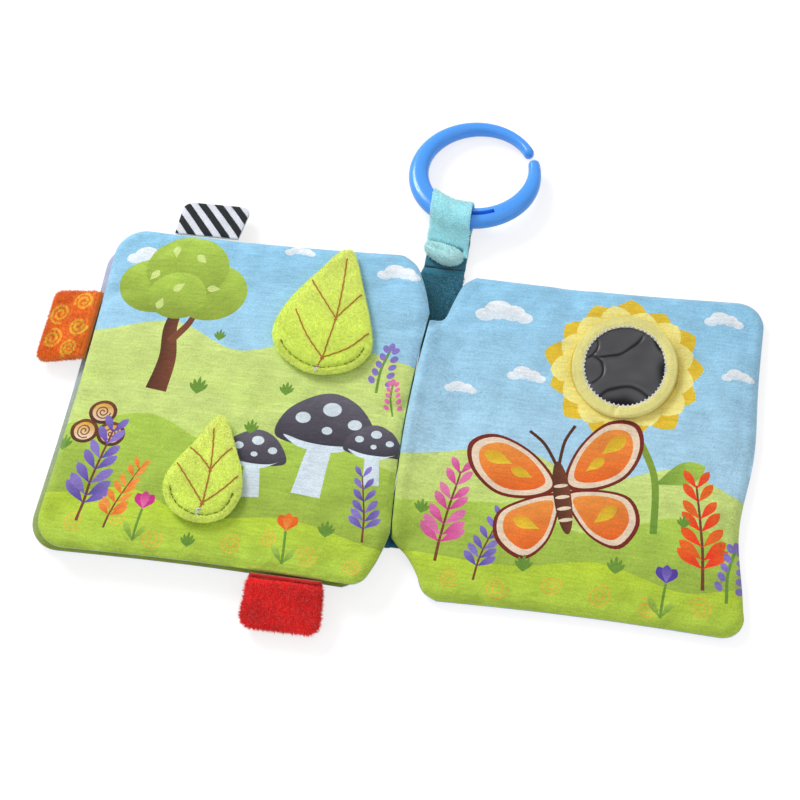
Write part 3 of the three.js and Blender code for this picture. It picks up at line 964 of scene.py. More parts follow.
@dataclass
class Pad:
    """One printed cloth of a stuffed piece, from its seam to its crown."""

    name: str
    outline: Points
    seam: float
    height: float
    reach: float
    ground: Patch
    patches: list[Patch] = field(default_factory=list)
    face: Face = Face.UP
    spacing: float = 2.2
    rings: tuple[float, ...] = (0.25, 0.8, 1.8, 3.4)
    pucker: float = 0.45
    pucker_length: float = 7.0
    swell: float = 0.5
    flat: float | None = None
    seed: float = 1.0
    lay: Relief | None = None
    lift: Relief | None = None
    detail: Relief | None = None

    def relief(self, points: Points) -> np.ndarray:
        """Return how far the cloth stands from its seam at some points, in millimetres.

        Args:
            points: places in millimetres.

        Returns:
            A height for each point.
        """
        away, place = edge_distance(points, self.outline)
        deep = np.clip(away / self.reach, 0, 1)
        rise = self.height * np.sqrt(1 - (1 - deep) ** 2)
        if self.flat is not None:
            rise = np.minimum(rise, self.flat)
        gathers = np.array([ripple(p / self.pucker_length, 0.0, self.seed) for p in place])
        fade = np.exp(-away / (self.reach * 0.45)) * np.clip(away / 2.0, 0, 1)
        hills = np.array([
            ripple(x / 34, y / 34, self.seed) + 0.45 * ripple(x / 13, y / 13, self.seed + 5)
            for x, y in points
        ])
        loose = self.swell * (hills - 0.3) * np.clip(away / self.reach, 0, 1)
        total = rise + self.pucker * gathers * fade + loose
        if self.detail is not None:
            total += self.detail(points)
        if self.lay is not None:
            total += self.lay(points)
        if self.flat is not None:
            total = self.flat - np.logaddexp(0, (self.flat - total) / 0.3 - 1) * 0.3
        return np.maximum(total, 0.05)

    def build(self, material: Material) -> Piece:
        """Make the cloth as a closed pad.

        Args:
            material: its finish.

        Returns:
            The piece, with its print stored on it.
        """
        patches = [self.ground, *self.patches]
        flat, triangles = triangulate(self.outline, self.patches, self.spacing, self.rings)
        sign = self.face.value
        floor = self.seam + (self.lift(flat) if self.lift is not None else np.zeros(len(flat)))
        top = np.column_stack([flat, floor + sign * (PAD_EDGE + self.relief(flat))])
        base = np.column_stack([flat, floor + sign * PAD_BASE])
        count = len(flat)
        sides = self._sides(triangles, count)
        faces = np.concatenate([triangles, triangles[:, ::-1] + count])
        if self.face is Face.DOWN:
            faces = faces[:, ::-1]
            sides = sides[:, ::-1]
        piece = make_mesh(self.name, np.concatenate([top, base]), [*faces, *sides])
        tints = self._tints(flat, triangles, patches)
        under = np.repeat(np.array(self.ground.start)[None], 3, axis=0)
        colours = np.concatenate([
            tints if self.face is Face.UP else tints[:, ::-1],
            np.repeat(under[None], len(triangles), axis=0),
        ]).reshape(-1, 3)
        rim = np.repeat(np.array(self.ground.start)[None], 4 * len(sides), axis=0)
        paint(piece, np.concatenate([colours, rim]))
        piece.data.materials.append(material)
        return piece

    @staticmethod
    def _sides(triangles: np.ndarray, count: int) -> np.ndarray:
        """Return the quads between the crown's edge and the flat base under it.

        Args:
            triangles: triangles of the crown.
            count: points of the crown.

        Returns:
            Four point numbers for each quad.
        """
        pairs = np.concatenate([triangles[:, [0, 1]], triangles[:, [1, 2]], triangles[:, [2, 0]]])
        known = {(a, b) for a, b in pairs.tolist()}
        open_edges = [(a, b) for a, b in pairs.tolist() if (b, a) not in known]
        return np.array([(b, a, a + count, b + count) for a, b in open_edges])

    @staticmethod
    def _tints(flat: Points, triangles: np.ndarray, patches: Sequence[Patch]) -> np.ndarray:
        """Return each triangle corner's colour, from the last patch that covers the triangle.

        Args:
            flat: points of the cloth.
            triangles: its triangles.
            patches: printed shapes, the ground first.

        Returns:
            A colour for each corner of each triangle.
        """
        middles = flat[triangles].mean(axis=1)
        owner = np.zeros(len(triangles), int)
        for number, patch in enumerate(patches):
            if number == 0:
                continue
            low, high = patch.outline.min(axis=0), patch.outline.max(axis=0)
            near = np.all((middles >= low) & (middles <= high), axis=1).nonzero()[0]
            if len(near):
                owner[near[inside(middles[near], patch.outline)]] = number
        tints = np.zeros((len(triangles), 3, 3))
        for number, patch in enumerate(patches):
            mine = (owner == number).nonzero()[0]
            if len(mine):
                corners = flat[triangles[mine]].reshape(-1, 2)
                tints[mine] = patch.shade(corners).reshape(-1, 3, 3)
        return tints


@dataclass
class PanelShape:
    """Outline of a cover or page: round outer corners and notches cut towards the spine."""

    low: Points
    high: Points
    corner_low: float = 14.0
    corner_high: float = 14.0
    side_draw: float = 1.2
    inner_draw: float = 0.0
    outer_wave: float = 0.0
    spacing: float = 2.0

    def outline(self, notch_low: Sequence[Pair],
                notch_high: Sequence[Pair]) -> Points:
        """Return the outline, for a panel on the right.

        Args:
            notch_low: points of the lower notch, from the spine outwards.
            notch_high: points of the upper notch, from the spine outwards.

        Returns:
            Anticlockwise points in millimetres.
        """
        bottom = self.low[1]
        outer, top = self.high[:2]
        run = np.linspace(0, 1, 40)[1:-1]
        lower = smooth(notch_low, 6, closed=False)
        upper = smooth(notch_high, 6, closed=False)[::-1]
        first, second = self.corner_low, self.corner_high
        foot = self._side(lower[-1], (outer - first, bottom), (0, 1), run)
        edge = self._side((outer, bottom + first), (outer, top - second), (-1, 0), run)
        edge[:, 0] += self.outer_wave * (1.2 * np.exp(-((edge[:, 1] - 6) / 22) ** 2)
                                         - 3.6 * np.exp(-((edge[:, 1] + 34) / 24) ** 2))
        head = self._side((outer - second, top), upper[0], (0, -1), run)
        parts = [
            lower, foot, self._arc(outer - first, bottom + first, first, -90), edge,
            self._arc(outer - second, top - second, second, 0), head, upper,
        ]
        if self.inner_draw:
            parts.append(self._side(upper[-1], lower[0], (-1, 0), run, self.inner_draw))
        return evenly(np.concatenate(parts), self.spacing)

    def _side(self, start: Sequence[float], end: Sequence[float], inwards: Sequence[float],
              run: np.ndarray, draw: float | None = None) -> Points:
        """Return a side that is drawn in between its ends.

        Args:
            start: where it starts.
            end: where it ends.
            inwards: direction to the panel's middle.
            run: shares of its length at which it has points.
            draw: how far it is drawn in, or None for the usual.

        Returns:
            Its points.
        """
        depth = self.side_draw if draw is None else draw
        line = np.array(start) + (np.array(end) - np.array(start)) * run[:, None]
        return line + np.array(inwards) * depth * np.sin(math.pi * run)[:, None]

    @staticmethod
    def _arc(x: float, y: float, radius: float, start: float) -> Points:
        """Return a quarter of a circle, anticlockwise from an angle in degrees."""
        angle = np.radians(np.linspace(start, start + 90, 12))
        return np.stack([x + radius * np.cos(angle), y + radius * np.sin(angle)], axis=1)


def flipped(outline: Points) -> Points:
    """Return an outline mirrored left to right, still anticlockwise."""
    return (outline * (-1, 1))[::-1]


def set_outwards(piece: Piece) -> None:
    """Turn a closed mesh's faces outwards.

    Args:
        piece: a closed mesh.
    """
    work = bmesh.new()
    work.from_mesh(piece.data)
    bmesh.ops.recalc_face_normals(work, faces=work.faces)
    work.to_mesh(piece.data)
    work.free()


class StuffTree:
    """A Geometry Nodes tree that puts small shapes on a piece and keeps only those."""

    def __init__(self, name: str, sizes: Sequence[str]) -> None:
        """Start the tree with named inputs: the geometry, its sizes and the finish.

        Args:
            name: the tree's name.
            sizes: names of its number inputs.
        """
        tree = bpy.data.node_groups.new(name, "GeometryNodeTree")
        sockets = [("Geometry", "INPUT", "Geometry"), *((size, "INPUT", "Float") for size in sizes),
                   ("Material", "INPUT", "Material"), ("Geometry", "OUTPUT", "Geometry")]
        for label, side, kind in sockets:
            tree.interface.new_socket(label, in_out=side, socket_type=f"NodeSocket{kind}")
        self.nodes = Nodes(tree)
        self.given = self.nodes.add("NodeGroupInput").outputs

    def place(self, inputs: Inputs) -> None:
        """End the tree: put an instance on each point, make them real and give them the finish.

        Args:
            inputs: sockets for the points, the instance, its turn and its scale.
        """
        take = self.nodes.take
        placed = take("GeometryNodeInstanceOnPoints", "Instances", inputs)
        real = take("GeometryNodeRealizeInstances", "Geometry", {"Geometry": placed})
        dressed = take("GeometryNodeSetMaterial", "Geometry", {
            "Geometry": real, "Material": self.given["Material"]})
        self.nodes.add("NodeGroupOutput", {"Geometry": dressed})

    def run(self, name: str, mesh: bpy.types.Mesh, values: dict[str, object]) -> Piece:
        """Run the tree on a mesh.

        Args:
            name: the new piece's name.
            mesh: the geometry that it works on.
            values: its inputs by name, which are set through their identifiers.

        Returns:
            The result, as a plain mesh.
        """
        piece = bpy.data.objects.new(name, mesh)
        bpy.context.scene.collection.objects.link(piece)
        modifier = piece.modifiers.new("stuff", "NODES")
        modifier.node_group = self.nodes.tree
        for item in self.nodes.tree.interface.items_tree:
            if item.in_out == "INPUT" and item.name in values:
                modifier[item.identifier] = values[item.name]
        return as_plain_mesh(piece)


class FibreTree(StuffTree):
    """The tree that covers a surface with short fibres."""

    def __init__(self) -> None:
        """Build the tree."""
        super().__init__("short_fibres", ("Density", "Length", "Radius", "Lean"))
        take, math_node, given = self.nodes.take, self.nodes.math, self.given
        pile = take("GeometryNodeInputNamedAttribute", "Attribute", {"Name": "pile"},
                    data_type="FLOAT")
        scatter = self.nodes.add("GeometryNodeDistributePointsOnFaces", {
            "Seed": 7, "Mesh": given["Geometry"],
            "Density": math_node("MULTIPLY", given["Density"], pile)}).outputs
        cone = take("GeometryNodeMeshCone", "Mesh", {
            "Vertices": 3, "Radius Top": 0.0, "Radius Bottom": given["Radius"],
            "Depth": given["Length"]}, fill_type="NONE")
        chance = take("FunctionNodeRandomValue", "Value", {"Seed": 3}, data_type="FLOAT_VECTOR")
        shift = take("ShaderNodeVectorMath", "Vector", {0: chance, 1: (0.5, 0.5, 0.5)},
                     operation="SUBTRACT")
        lean = take("ShaderNodeVectorMath", "Vector", {0: shift, "Scale": given["Lean"]},
                    operation="SCALE")
        aim = take("ShaderNodeVectorMath", "Vector", {0: scatter["Normal"], 1: lean},
                   operation="ADD")
        turn = take("FunctionNodeAlignRotationToVector", "Rotation", {"Vector": aim}, axis="Z")
        size = take("FunctionNodeRandomValue", 1, {"Seed": 5, 2: 0.5, 3: 1.15},
                    data_type="FLOAT")
        share = math_node("MULTIPLY_ADD", pile, 0.65, 0.35, clamp=True)
        self.place({"Points": scatter["Points"], "Instance": cone, "Rotation": turn,
                    "Scale": math_node("MULTIPLY", share, size)})

    def grow(self, name: str, surface: Piece, material: Material, where: Relief, *,
             density: float, length: float, radius: float, lean: float) -> Piece:
        """Grow fibres on a copy of a surface and return them as a plain mesh.

        Args:
            name: the new piece's name.
            surface: the piece that they grow on.
            material: their finish.
            where: share of the full pile at places in millimetres.
            density: fibres on each square metre where the pile is full.
            length: length of a fibre in millimetres.
            radius: radius of its root in millimetres.
            lean: how far fibres lean at random.

        Returns:
            The fibres, as a mesh.
        """
        mesh = surface.data.copy()
        weights = where(places_of(mesh)).astype(np.float32)
        layer = mesh.attributes.new("pile", "FLOAT", "POINT")
        layer.data.foreach_set("value", np.ascontiguousarray(weights))
        return self.run(name, mesh, {"Density": density, "Length": length * MM,
                                     "Radius": radius * MM, "Lean": lean, "Material": material})


class StitchTree(StuffTree):
    """The tree that sews stitches of thread along a line."""

    def __init__(self) -> None:
        """Build the tree, in which stitches slant one way and the other in turn."""
        super().__init__("stitches", ("Pitch", "Length", "Radius", "Slant"))
        take, math_node, given = self.nodes.take, self.nodes.math, self.given
        line = take("GeometryNodeMeshToCurve", "Curve", {"Mesh": given["Geometry"]})
        even = take("GeometryNodeResampleCurve", "Curve", {
            "Curve": line, "Length": given["Pitch"]}, mode="LENGTH")
        stitch = take("GeometryNodeMeshCylinder", "Mesh", {
            "Vertices": 7, "Radius": given["Radius"], "Depth": given["Length"]})
        along = take("FunctionNodeAlignRotationToVector", "Rotation", {
            "Vector": take("GeometryNodeInputTangent", "Tangent")}, axis="Z")
        odd = math_node("FLOORED_MODULO", take("GeometryNodeInputIndex", "Index"), 2.0)
        side = math_node("MULTIPLY_ADD", odd, 2.0, -1.0)
        slant = take("FunctionNodeAxisAngleToRotation", "Rotation", {
            "Axis": (0, 0, 1), "Angle": math_node("MULTIPLY", side, given["Slant"])})
        turn = take("FunctionNodeRotateRotation", "Rotation", {
            "Rotation": along, "Rotate By": slant}, rotation_space="GLOBAL")
        self.place({"Points": even, "Instance": stitch, "Rotation": turn})

    def sew(self, name: str, lines: Sequence[Points], material: Material, *, pitch: float,
            length: float, radius: float, slant: float) -> Piece:
        """Sew stitches along lines and return them as a plain mesh.

        Args:
            name: the piece's name.
            lines: places along each line, in millimetres.
            material: their finish.
            pitch: distance between stitches in millimetres.
            length: length of a stitch in millimetres.
            radius: the thread's radius in millimetres.
            slant: how far stitches turn from the line, one way and the other, in degrees.

        Returns:
            The stitches, as a mesh.
        """
        mesh = bpy.data.meshes.new(name)
        edges, count = [], 0
        for line in lines:
            edges += [(count + i, count + i + 1) for i in range(len(line) - 1)]
            count += len(line)
        mesh.from_pydata((np.concatenate(lines) * MM).tolist(), edges, [])
        piece = self.run(name, mesh, {
            "Pitch": pitch * MM, "Length": length * MM, "Radius": radius * MM,
            "Slant": math.radians(slant), "Material": material})
        piece.data.shade_smooth()
        piece.data.set_sharp_from_angle(angle=math.radians(50))
        return piece


def places_of(mesh: bpy.types.Mesh) -> Points:
    """Return a mesh's points in millimetres.

    Args:
        mesh: a mesh in metres.

    Returns:
        X, Y and Z of each point.
    """
    places = np.zeros(len(mesh.vertices) * 3, np.float32)
    mesh.vertices.foreach_get("co", places)
    return places.reshape(-1, 3) / MM


def as_plain_mesh(piece: Piece) -> Piece:
    """Replace a piece's mesh with its evaluated one and remove its modifiers.

    Args:
        piece: an object with modifiers.

    Returns:
        The same object.
    """
    graph = bpy.context.evaluated_depsgraph_get()
    mesh = bpy.data.meshes.new_from_object(piece.evaluated_get(graph))
    mesh.name = piece.name
    piece.modifiers.clear()
    piece.data = mesh
    return piece


def hill(x0: float, x1: float, tops: Sequence[Pair], start: Colour,
         end: Colour) -> Patch:
    """Return a rolling hill from below the page to a smooth ridge.

    Args:
        x0: its left end.
        x1: its right end.
        tops: points of its ridge.
        start: its colour at the foot.
        end: its colour at the ridge.

    Returns:
        The hill.
    """
    ridge = smooth([(x0 - 10, tops[0][1]), *tops, (x1 + 10, tops[-1][1])], 8, closed=False)
    return Patch(np.concatenate([[(x0 - 10, -90), (x1 + 10, -90)], ridge[::-1]]), start, end)


def puffs(x: float, y: float, size: float, flat: float,
          places: Sequence[Place], start: Colour,
          end: Colour | None = None) -> list[Patch]:
    """Return ellipses whose places and radii are shares of a size.

    Args:
        x, y: where the places are measured from.
        size: the size.
        flat: their height as a share of their width.
        places: X, Y and radius of each.
        start: their colour at the foot.
        end: their colour at the top, if it differs.

    Returns:
        The ellipses.
    """
    return [Patch(ellipse(x + dx * size, y + dy * size, r * size, r * size * flat), start, end)
            for dx, dy, r in places]


def cloud(x: float, y: float, size: float) -> list[Patch]:
    """Return a cloud of four round puffs."""
    places = ((-0.95, -0.1, 0.5), (-0.3, 0.25, 0.72), (0.45, 0.12, 0.62), (1.05, -0.12, 0.42))
    return puffs(x, y, size, 0.72, places, Dye.CLOUD_SHADE, Dye.CLOUD)


def tulip(x: float, y: float, size: float, cup: Colour, inner: Colour, lean: float) -> list[Patch]:
    """Return a tulip with a stem and two leaves.

    Args:
        x, y: its foot.
        size: half the length of its stem.
        cup: colour of its outer petals.
        inner: colour of its middle petal.
        lean: how far its top leans to the right.

    Returns:
        The printed shapes.
    """
    stem = smooth([(0, 0), (lean * 0.3, size), (lean, size * 2.1)], 6, closed=False) + (x, y)
    top = stem[-1]
    return [
        Patch(ribbon(stem, size * 0.16), Dye.FERN),
        Patch(petal(x, y, size * 1.5, size * 0.4, 124), Dye.FERN, Dye.LIME),
        Patch(petal(x, y, size * 1.3, size * 0.38, 58), Dye.FERN, Dye.LIME),
        Patch(petal(*top, size * 1.15, size * 0.62, 118), cup),
        Patch(petal(*top, size * 1.15, size * 0.62, 62), cup),
        Patch(petal(*top, size * 1.2, size * 0.6, 90), inner, cup),
    ]


def mushroom(x: float, y: float, size: float, lean: float) -> list[Patch]:
    """Return a grey mushroom with pale spots.

    Args:
        x, y: its foot.
        size: half the width of its cap.
        lean: how far its top leans to the right.

    Returns:
        The printed shapes.
    """
    stem = smooth([(0, 0), (lean * 0.4, size * 0.55), (lean, size * 1.1)], 6, closed=False)
    stem = stem + (x, y)
    top = stem[-1]
    cap = smooth([(-0.85, -0.05), (-0.72, 0.4), (-0.3, 0.72), (0.1, 0.8), (0.52, 0.6),
                  (0.83, 0.2), (0.86, -0.08), (0.4, -0.2), (0, -0.24), (-0.45, -0.2)], 5)
    gills = smooth([(-0.7, -0.04), (-0.3, -0.14), (0.1, -0.17), (0.5, -0.13), (0.7, -0.03),
                    (0.35, -0.25), (0, -0.29), (-0.4, -0.24)], 4)
    spots = ((-0.42, 0.3, 0.13), (0.05, 0.5, 0.16), (0.48, 0.26, 0.12), (0.03, 0.1, 0.09))
    return [
        Patch(ribbon(stem, lambda s: size * (0.5 - 0.12 * s)), Dye.CLOUD_SHADE, Dye.MIST, 0),
        Patch(cap * size + top, Dye.STONE_DARK, Dye.STONE),
        Patch(gills * size + top, Dye.CLOUD_SHADE),
        *puffs(*top, size, 0.8, spots, Dye.MIST),
    ]


def tree(x: float, y: float, size: float) -> list[Patch]:
    """Return a round tree with a forked trunk, its foot at a place.

    Args:
        x, y: foot.
        size: half the crown's width.

    Returns:
        The printed shapes.
    """
    trunk = smooth([(0, 0), (1.5, size * 0.5), (-1, size), (1, size * 1.45)], 7, closed=False)
    fork = smooth([(0.5, size * 0.75), (size * 0.22, size * 1.1), (size * 0.3, size * 1.45)], 6,
                  closed=False)
    crowns = ((-0.42, 1.62, 0.5), (0.42, 1.6, 0.52), (0, 1.95, 0.6), (-0.05, 1.5, 0.42))
    leaves = ((-0.5, 1.7), (-0.2, 2.1), (0.25, 2.05), (0.55, 1.65), (0.02, 1.7), (-0.25, 1.45))
    return [
        Patch(ribbon(trunk + (x, y), lambda s: size * (0.3 - 0.17 * s)), Dye.BARK_DARK, Dye.BARK,
              0),
        Patch(ribbon(fork + (x, y), lambda s: size * (0.12 - 0.05 * s)), Dye.BARK),
        *puffs(x, y, size, 0.88, crowns, Dye.OLIVE, Dye.LIME),
        *[Patch(petal(x + dx * size, y + dy * size, size * 0.2, size * 0.11, 60 + 40 * i),
                Dye.LIME_PALE) for i, (dx, dy) in enumerate(leaves)],
    ]


def log_stack(x: float, y: float, size: float) -> list[Patch]:
    """Return three brown logs seen from their ends, with rings of growth.

    Args:
        x, y: middle of its lower row.
        size: radius of a log.

    Returns:
        The printed shapes.
    """
    out = []
    for dx, dy in ((-0.95, 0), (0.95, 0), (0, 1.55)):
        cx, cy = x + dx * size, y + dy * size
        out.append(Patch(ellipse(cx, cy, size, size * 0.92), Dye.BARK_DARK, Dye.BARK))
        out.append(Patch(ellipse(cx, cy, size * 0.74, size * 0.68), Dye.CREAM, Dye.SUN_DEEP))
        out.append(Patch(ribbon(spiral(cx, cy, size * 0.55, 2.0, dx), size * 0.09), Dye.BARK))
    return out


def lawn(tufts: Iterable[Place]) -> list[Patch]:
    """Return tufts of five blades, at places with a size each."""
    return [Patch(petal(x, y, size * (1 - 0.12 * abs(i)), size * 0.2, 90 + 19 * i), Dye.FERN)
            for x, y, size in tufts for i in range(-2, 3)]


def sprig(x: float, y: float, size: float, tint: Colour, heading: float) -> list[Patch]:
    """Return a stem with pairs of round buds.

    Args:
        x, y: foot.
        size: length of the stem.
        tint: colour of the buds.
        heading: where it points, in degrees.

    Returns:
        The printed shapes.
    """
    stem = turned(smooth([(0, 0), (size * 0.5, size * 0.06), (size, 0)], 6, closed=False), heading)
    out = [Patch(ribbon(stem + (x, y), size * 0.05), Dye.FERN)]
    for i in range(5):
        share = 0.25 + 0.17 * i
        for side in (-1, 1):
            bud = turned(np.array([[size * share, side * size * (0.17 - 0.02 * i)]]), heading)[0]
            out.append(Patch(ellipse(x + bud[0], y + bud[1], size * 0.085, size * 0.06,
                                     heading + 40 * side, 14), tint))
    end = stem[-1] + (x, y)
    out.append(Patch(ellipse(end[0], end[1], size * 0.08, size * 0.06, heading, 14), tint))
    return out


def daisy(x: float, y: float, radius: float, hole: float, petals: int) -> list[Patch]:
    """Return a daisy of two rows of petals round a disc.

    Args:
        x, y: centre.
        radius: reach of the outer petals.
        hole: radius of the disc.
        petals: petals in each row.

    Returns:
        The printed shapes.
    """
    out = []
    for row, (length, tint, edge) in enumerate(((1.0, Dye.SUN_DEEP, Dye.SUN),
                                                (0.9, Dye.SUN, Dye.RIM))):
        for i in range(petals):
            heading = 360 / petals * (i + row / 2) + 7
            reach = radius * length * (1 + 0.04 * math.sin(i * 2.4))
            foot = np.array([x, y]) + facing(heading) * hole * 0.6
            out.append(Patch(petal(foot[0], foot[1], reach - hole * 0.6,
                                   2 * math.pi * radius / petals * 0.82, heading), tint, edge,
                             heading))
    out.append(Patch(ellipse(x, y, hole, hole), Dye.SUN))
    return out


def butterfly(x: float, y: float, size: float, turn: float) -> list[Patch]:
    """Return an orange butterfly with cream borders and a dark body.

    Args:
        x, y: its middle.
        size: about the length of a wing.
        turn: degrees that it is turned anticlockwise.

    Returns:
        The printed shapes.
    """
    upper = smooth([(0.05, 0.1), (0.3, 0.62), (0.78, 0.98), (1.18, 0.9), (1.2, 0.5), (0.9, 0.1),
                    (0.4, -0.04)], 6)
    lower = smooth([(0.05, -0.02), (0.5, -0.03), (0.92, -0.2), (0.98, -0.6), (0.66, -0.92),
                    (0.3, -0.72), (0.08, -0.3)], 6)
    feeler = smooth([(0.02, 0.42), (0.14, 0.75), (0.32, 0.98)], 6, closed=False)
    out: list[Patch] = []

    def add(shape: Points, start: Colour, end: Colour | None = None, way: float = 90.0) -> None:
        """Add a shape in its place, which fades along a heading from the butterfly's right."""
        out.append(Patch(turned(shape * size, turn) + (x, y), start, end, turn + way))

    for side in ((-1, 1), (1, 1)):
        for shape, middle in ((lower, (0.45, -0.38)), (upper, (0.62, 0.45))):
            add(shape * side, Dye.RUST)
            add(((shape - middle) * 0.9 + middle) * side, Dye.CREAM)
            add(((shape - middle) * 0.74 + middle) * side, Dye.FLAME, Dye.FLAME_PALE)
        for cx, cy, r in ((0.82, 0.62, 0.2), (0.52, 0.36, 0.15), (0.55, -0.4, 0.18)):
            add(petal(cx - r, cy - r * 0.6, r * 2.2, r, 31) * side, Dye.SUN, Dye.SUN_DEEP)
        add(ribbon(feeler * side, 0.045), Dye.BARK_DARK)
    add(ellipse(0, -0.08, 0.12, 0.55), Dye.BARK_DARK, Dye.BARK, 0.0)
    for i in range(4):
        add(ellipse(0, -0.42 + 0.17 * i, 0.1, 0.028, 0, 12), Dye.CREAM)
    return out


def swirls(places: Sequence[Place]) -> list[Patch]:
    """Return thin spirals on the ground, at places with a radius each."""
    return [Patch(ribbon(spiral(x, y, r, 1.9, 0.7 * i), 0.75), Dye.GROUND_WARM)
            for i, (x, y, r) in enumerate(places)]


def spray(x: float, y: float, size: float, tint: Colour, pale: Colour, lean: float,
          leaves: int = 7) -> list[Patch]:
    """Return a bending stem with pairs of long leaves, its foot at a place.

    Args:
        x, y: foot.
        size: height of the stem.
        tint: colour of the leaves.
        pale: colour at their tips.
        lean: how far the top leans to the right.
        leaves: pairs of leaves.

    Returns:
        The printed shapes.
    """
    stem = smooth([(0, 0), (lean * 0.25, size * 0.4), (lean, size)], 12, closed=False) + (x, y)
    out = [Patch(ribbon(stem, lambda s: size * (0.034 - 0.016 * s)), Dye.BARK)]
    for i in range(leaves):
        share = 0.3 + 0.66 * i / (leaves - 1)
        foot = stem[int(share * (len(stem) - 1))]
        length = size * (0.34 - 0.13 * share)
        for side in (-1, 1):
            heading = 90 - side * (58 - 26 * share) - lean * 0.8
            out.append(Patch(petal(foot[0], foot[1], length, length * 0.36, heading),
                             tint if (i + side) % 3 else pale, pale, heading))
    return out


class Prints:
    """The patterns printed on the cloths."""

    @staticmethod
    def left_page() -> list[Patch]:
        """Draw the wood's edge on the left page.

        Returns:
            The printed shapes.
        """
        sky = [*cloud(-138, 66, 8), *cloud(-20, 70, 7), *cloud(-68, 77, 5)]
        hills = [hill(-160, 0, tops, start, end) for tops, start, end in (
            ([(-150, 26), (-118, 34), (-86, 22), (-50, 32), (-8, 24)], Dye.LIME, Dye.LIME_PALE),
            ([(-150, -2), (-112, 4), (-72, -6), (-34, 6), (-8, -2)], Dye.LIME, Dye.LIME_PALE),
            ([(-150, -22), (-118, -14), (-84, -26), (-44, -18), (-8, -28)], Dye.OLIVE, Dye.LIME),
            ([(-150, -56), (-120, -50), (-88, -60), (-48, -56), (-8, -64)], Dye.LIME, Dye.GROUND),
        )]
        ground = swirls([(-140, -68, 5), (-122, -64, 4.2), (-104, -72, 5), (-70, -70, 4.6),
                         (-54, -66, 3.8), (-36, -72, 5), (-16, -74, 4.2)])
        plants = [
            *tree(-119, -2, 33),
            *log_stack(-140, -26, 6.5),
            *mushroom(-42, -44, 26, 3), *mushroom(-15, -36, 15, -2), *mushroom(-66, -48, 17, -2.5),
            *spray(-139, -68, 44, Dye.PLUM, Dye.PLUM_PALE, 6),
            *spray(-126, -70, 30, Dye.FLAME, Dye.FLAME_PALE, 9),
            *spray(-14, -62, 30, Dye.PLUM, Dye.PLUM_PALE, -5, 6),
            *tulip(-112, -74, 7, Dye.MAGENTA, Dye.PINK, 1),
            *tulip(-46, -76, 7, Dye.FLAME, Dye.FLAME_PALE, -1),
            *sprig(-20, 8, 24, Dye.PLUM_PALE, 82), *sprig(-11, -2, 17, Dye.PINK, 98),
            *lawn([(-100, -2, 9), (-72, -18, 7), (-154, -36, 8), (-30, -62, 8), (-88, -74, 7),
                   (-96, 26, 6), (-60, 2, 7)]),
        ]
        return [*sky, *hills, *ground, *plants]

    @staticmethod
    def right_page(mirror: Pair) -> list[Patch]:
        """Return the meadow on the right page, with a daisy round the mirror.

        Args:
            mirror: its middle.

        Returns:
            The printed shapes.
        """
        sky = [*cloud(30, 58, 9), *cloud(44, 28, 6), *cloud(128, 66, 6), *cloud(16, 18, 5),
               *cloud(136, 38, 5)]
        hills = [hill(-10, 148, tops, start, end) for tops, start, end in (
            ([(-4, -18), (44, -8), (78, -20), (112, -10), (142, -20)], Dye.LIME, Dye.LIME_PALE),
            ([(-4, -40), (46, -34), (80, -44), (114, -32), (142, -42)], Dye.OLIVE, Dye.LIME),
            ([(-4, -60), (48, -62), (84, -56), (118, -64), (142, -60)], Dye.LIME, Dye.GROUND),
        )]
        ground = swirls([(24, -70, 4.4), (44, -72, 5), (66, -68, 4.6), (86, -70, 5.2),
                         (106, -73, 4.4), (128, -70, 5)])
        stem = smooth([(94, 6), (104, -14), (106, -40)], 8, closed=False)
        flower = [
            Patch(ribbon(stem, 3.0), Dye.FERN, Dye.OLIVE),
            Patch(petal(104, -18, 24, 10, 28), Dye.FERN, Dye.LIME, 28),
            *daisy(*mirror, 35, 24, 13),
        ]
        rest = [
            *spray(17, -64, 42, Dye.MAGENTA, Dye.PINK, 5),
            *spray(34, -70, 30, Dye.PLUM, Dye.PLUM_PALE, 8, 6),
            *spray(128, -62, 46, Dye.RED, Dye.FLAME, -6),
            *sprig(138, -66, 26, Dye.PLUM_PALE, 84),
            *tulip(112, -76, 7, Dye.PLUM, Dye.PLUM_PALE, 1),
            *butterfly(66, -26, 31, 14),
            *lawn([(54, -64, 8), (92, -60, 8), (8, -44, 7), (118, -36, 6)]),
        ]
        return [*sky, *hills, *ground, *flower, *rest]

    @staticmethod
    def meadow(low: Sequence[float], high: Sequence[float], seed: int) -> list[Patch]:
        """Return a scattering of grass tufts and small flowers over a green cloth.

        Args:
            low: lowest corner of the cloth.
            high: highest corner.
            seed: seed of its random draws.

        Returns:
            The printed shapes.
        """
        chance = np.random.default_rng(seed)
        out: list[Patch] = []
        for x in np.arange(low[0] + 14, high[0] - 8, 26):
            for y in np.arange(low[1] + 14, high[1] - 8, 26):
                at = np.array([x, y]) + chance.uniform(-7, 7, 2)
                if chance.random() < 0.5:
                    out += lawn([(at[0], at[1], 7)])
                else:
                    petals = (Dye.SUN, Dye.PLUM_PALE, Dye.PINK)[int(chance.integers(3))]
                    out += [Patch(petal(at[0], at[1], 4.2, 2.6, 72 * i + 10), petals)
                            for i in range(5)]
                    out.append(Patch(ellipse(at[0], at[1], 1.2, 1.2, 0, 12), Dye.SUN_DEEP))
        return out

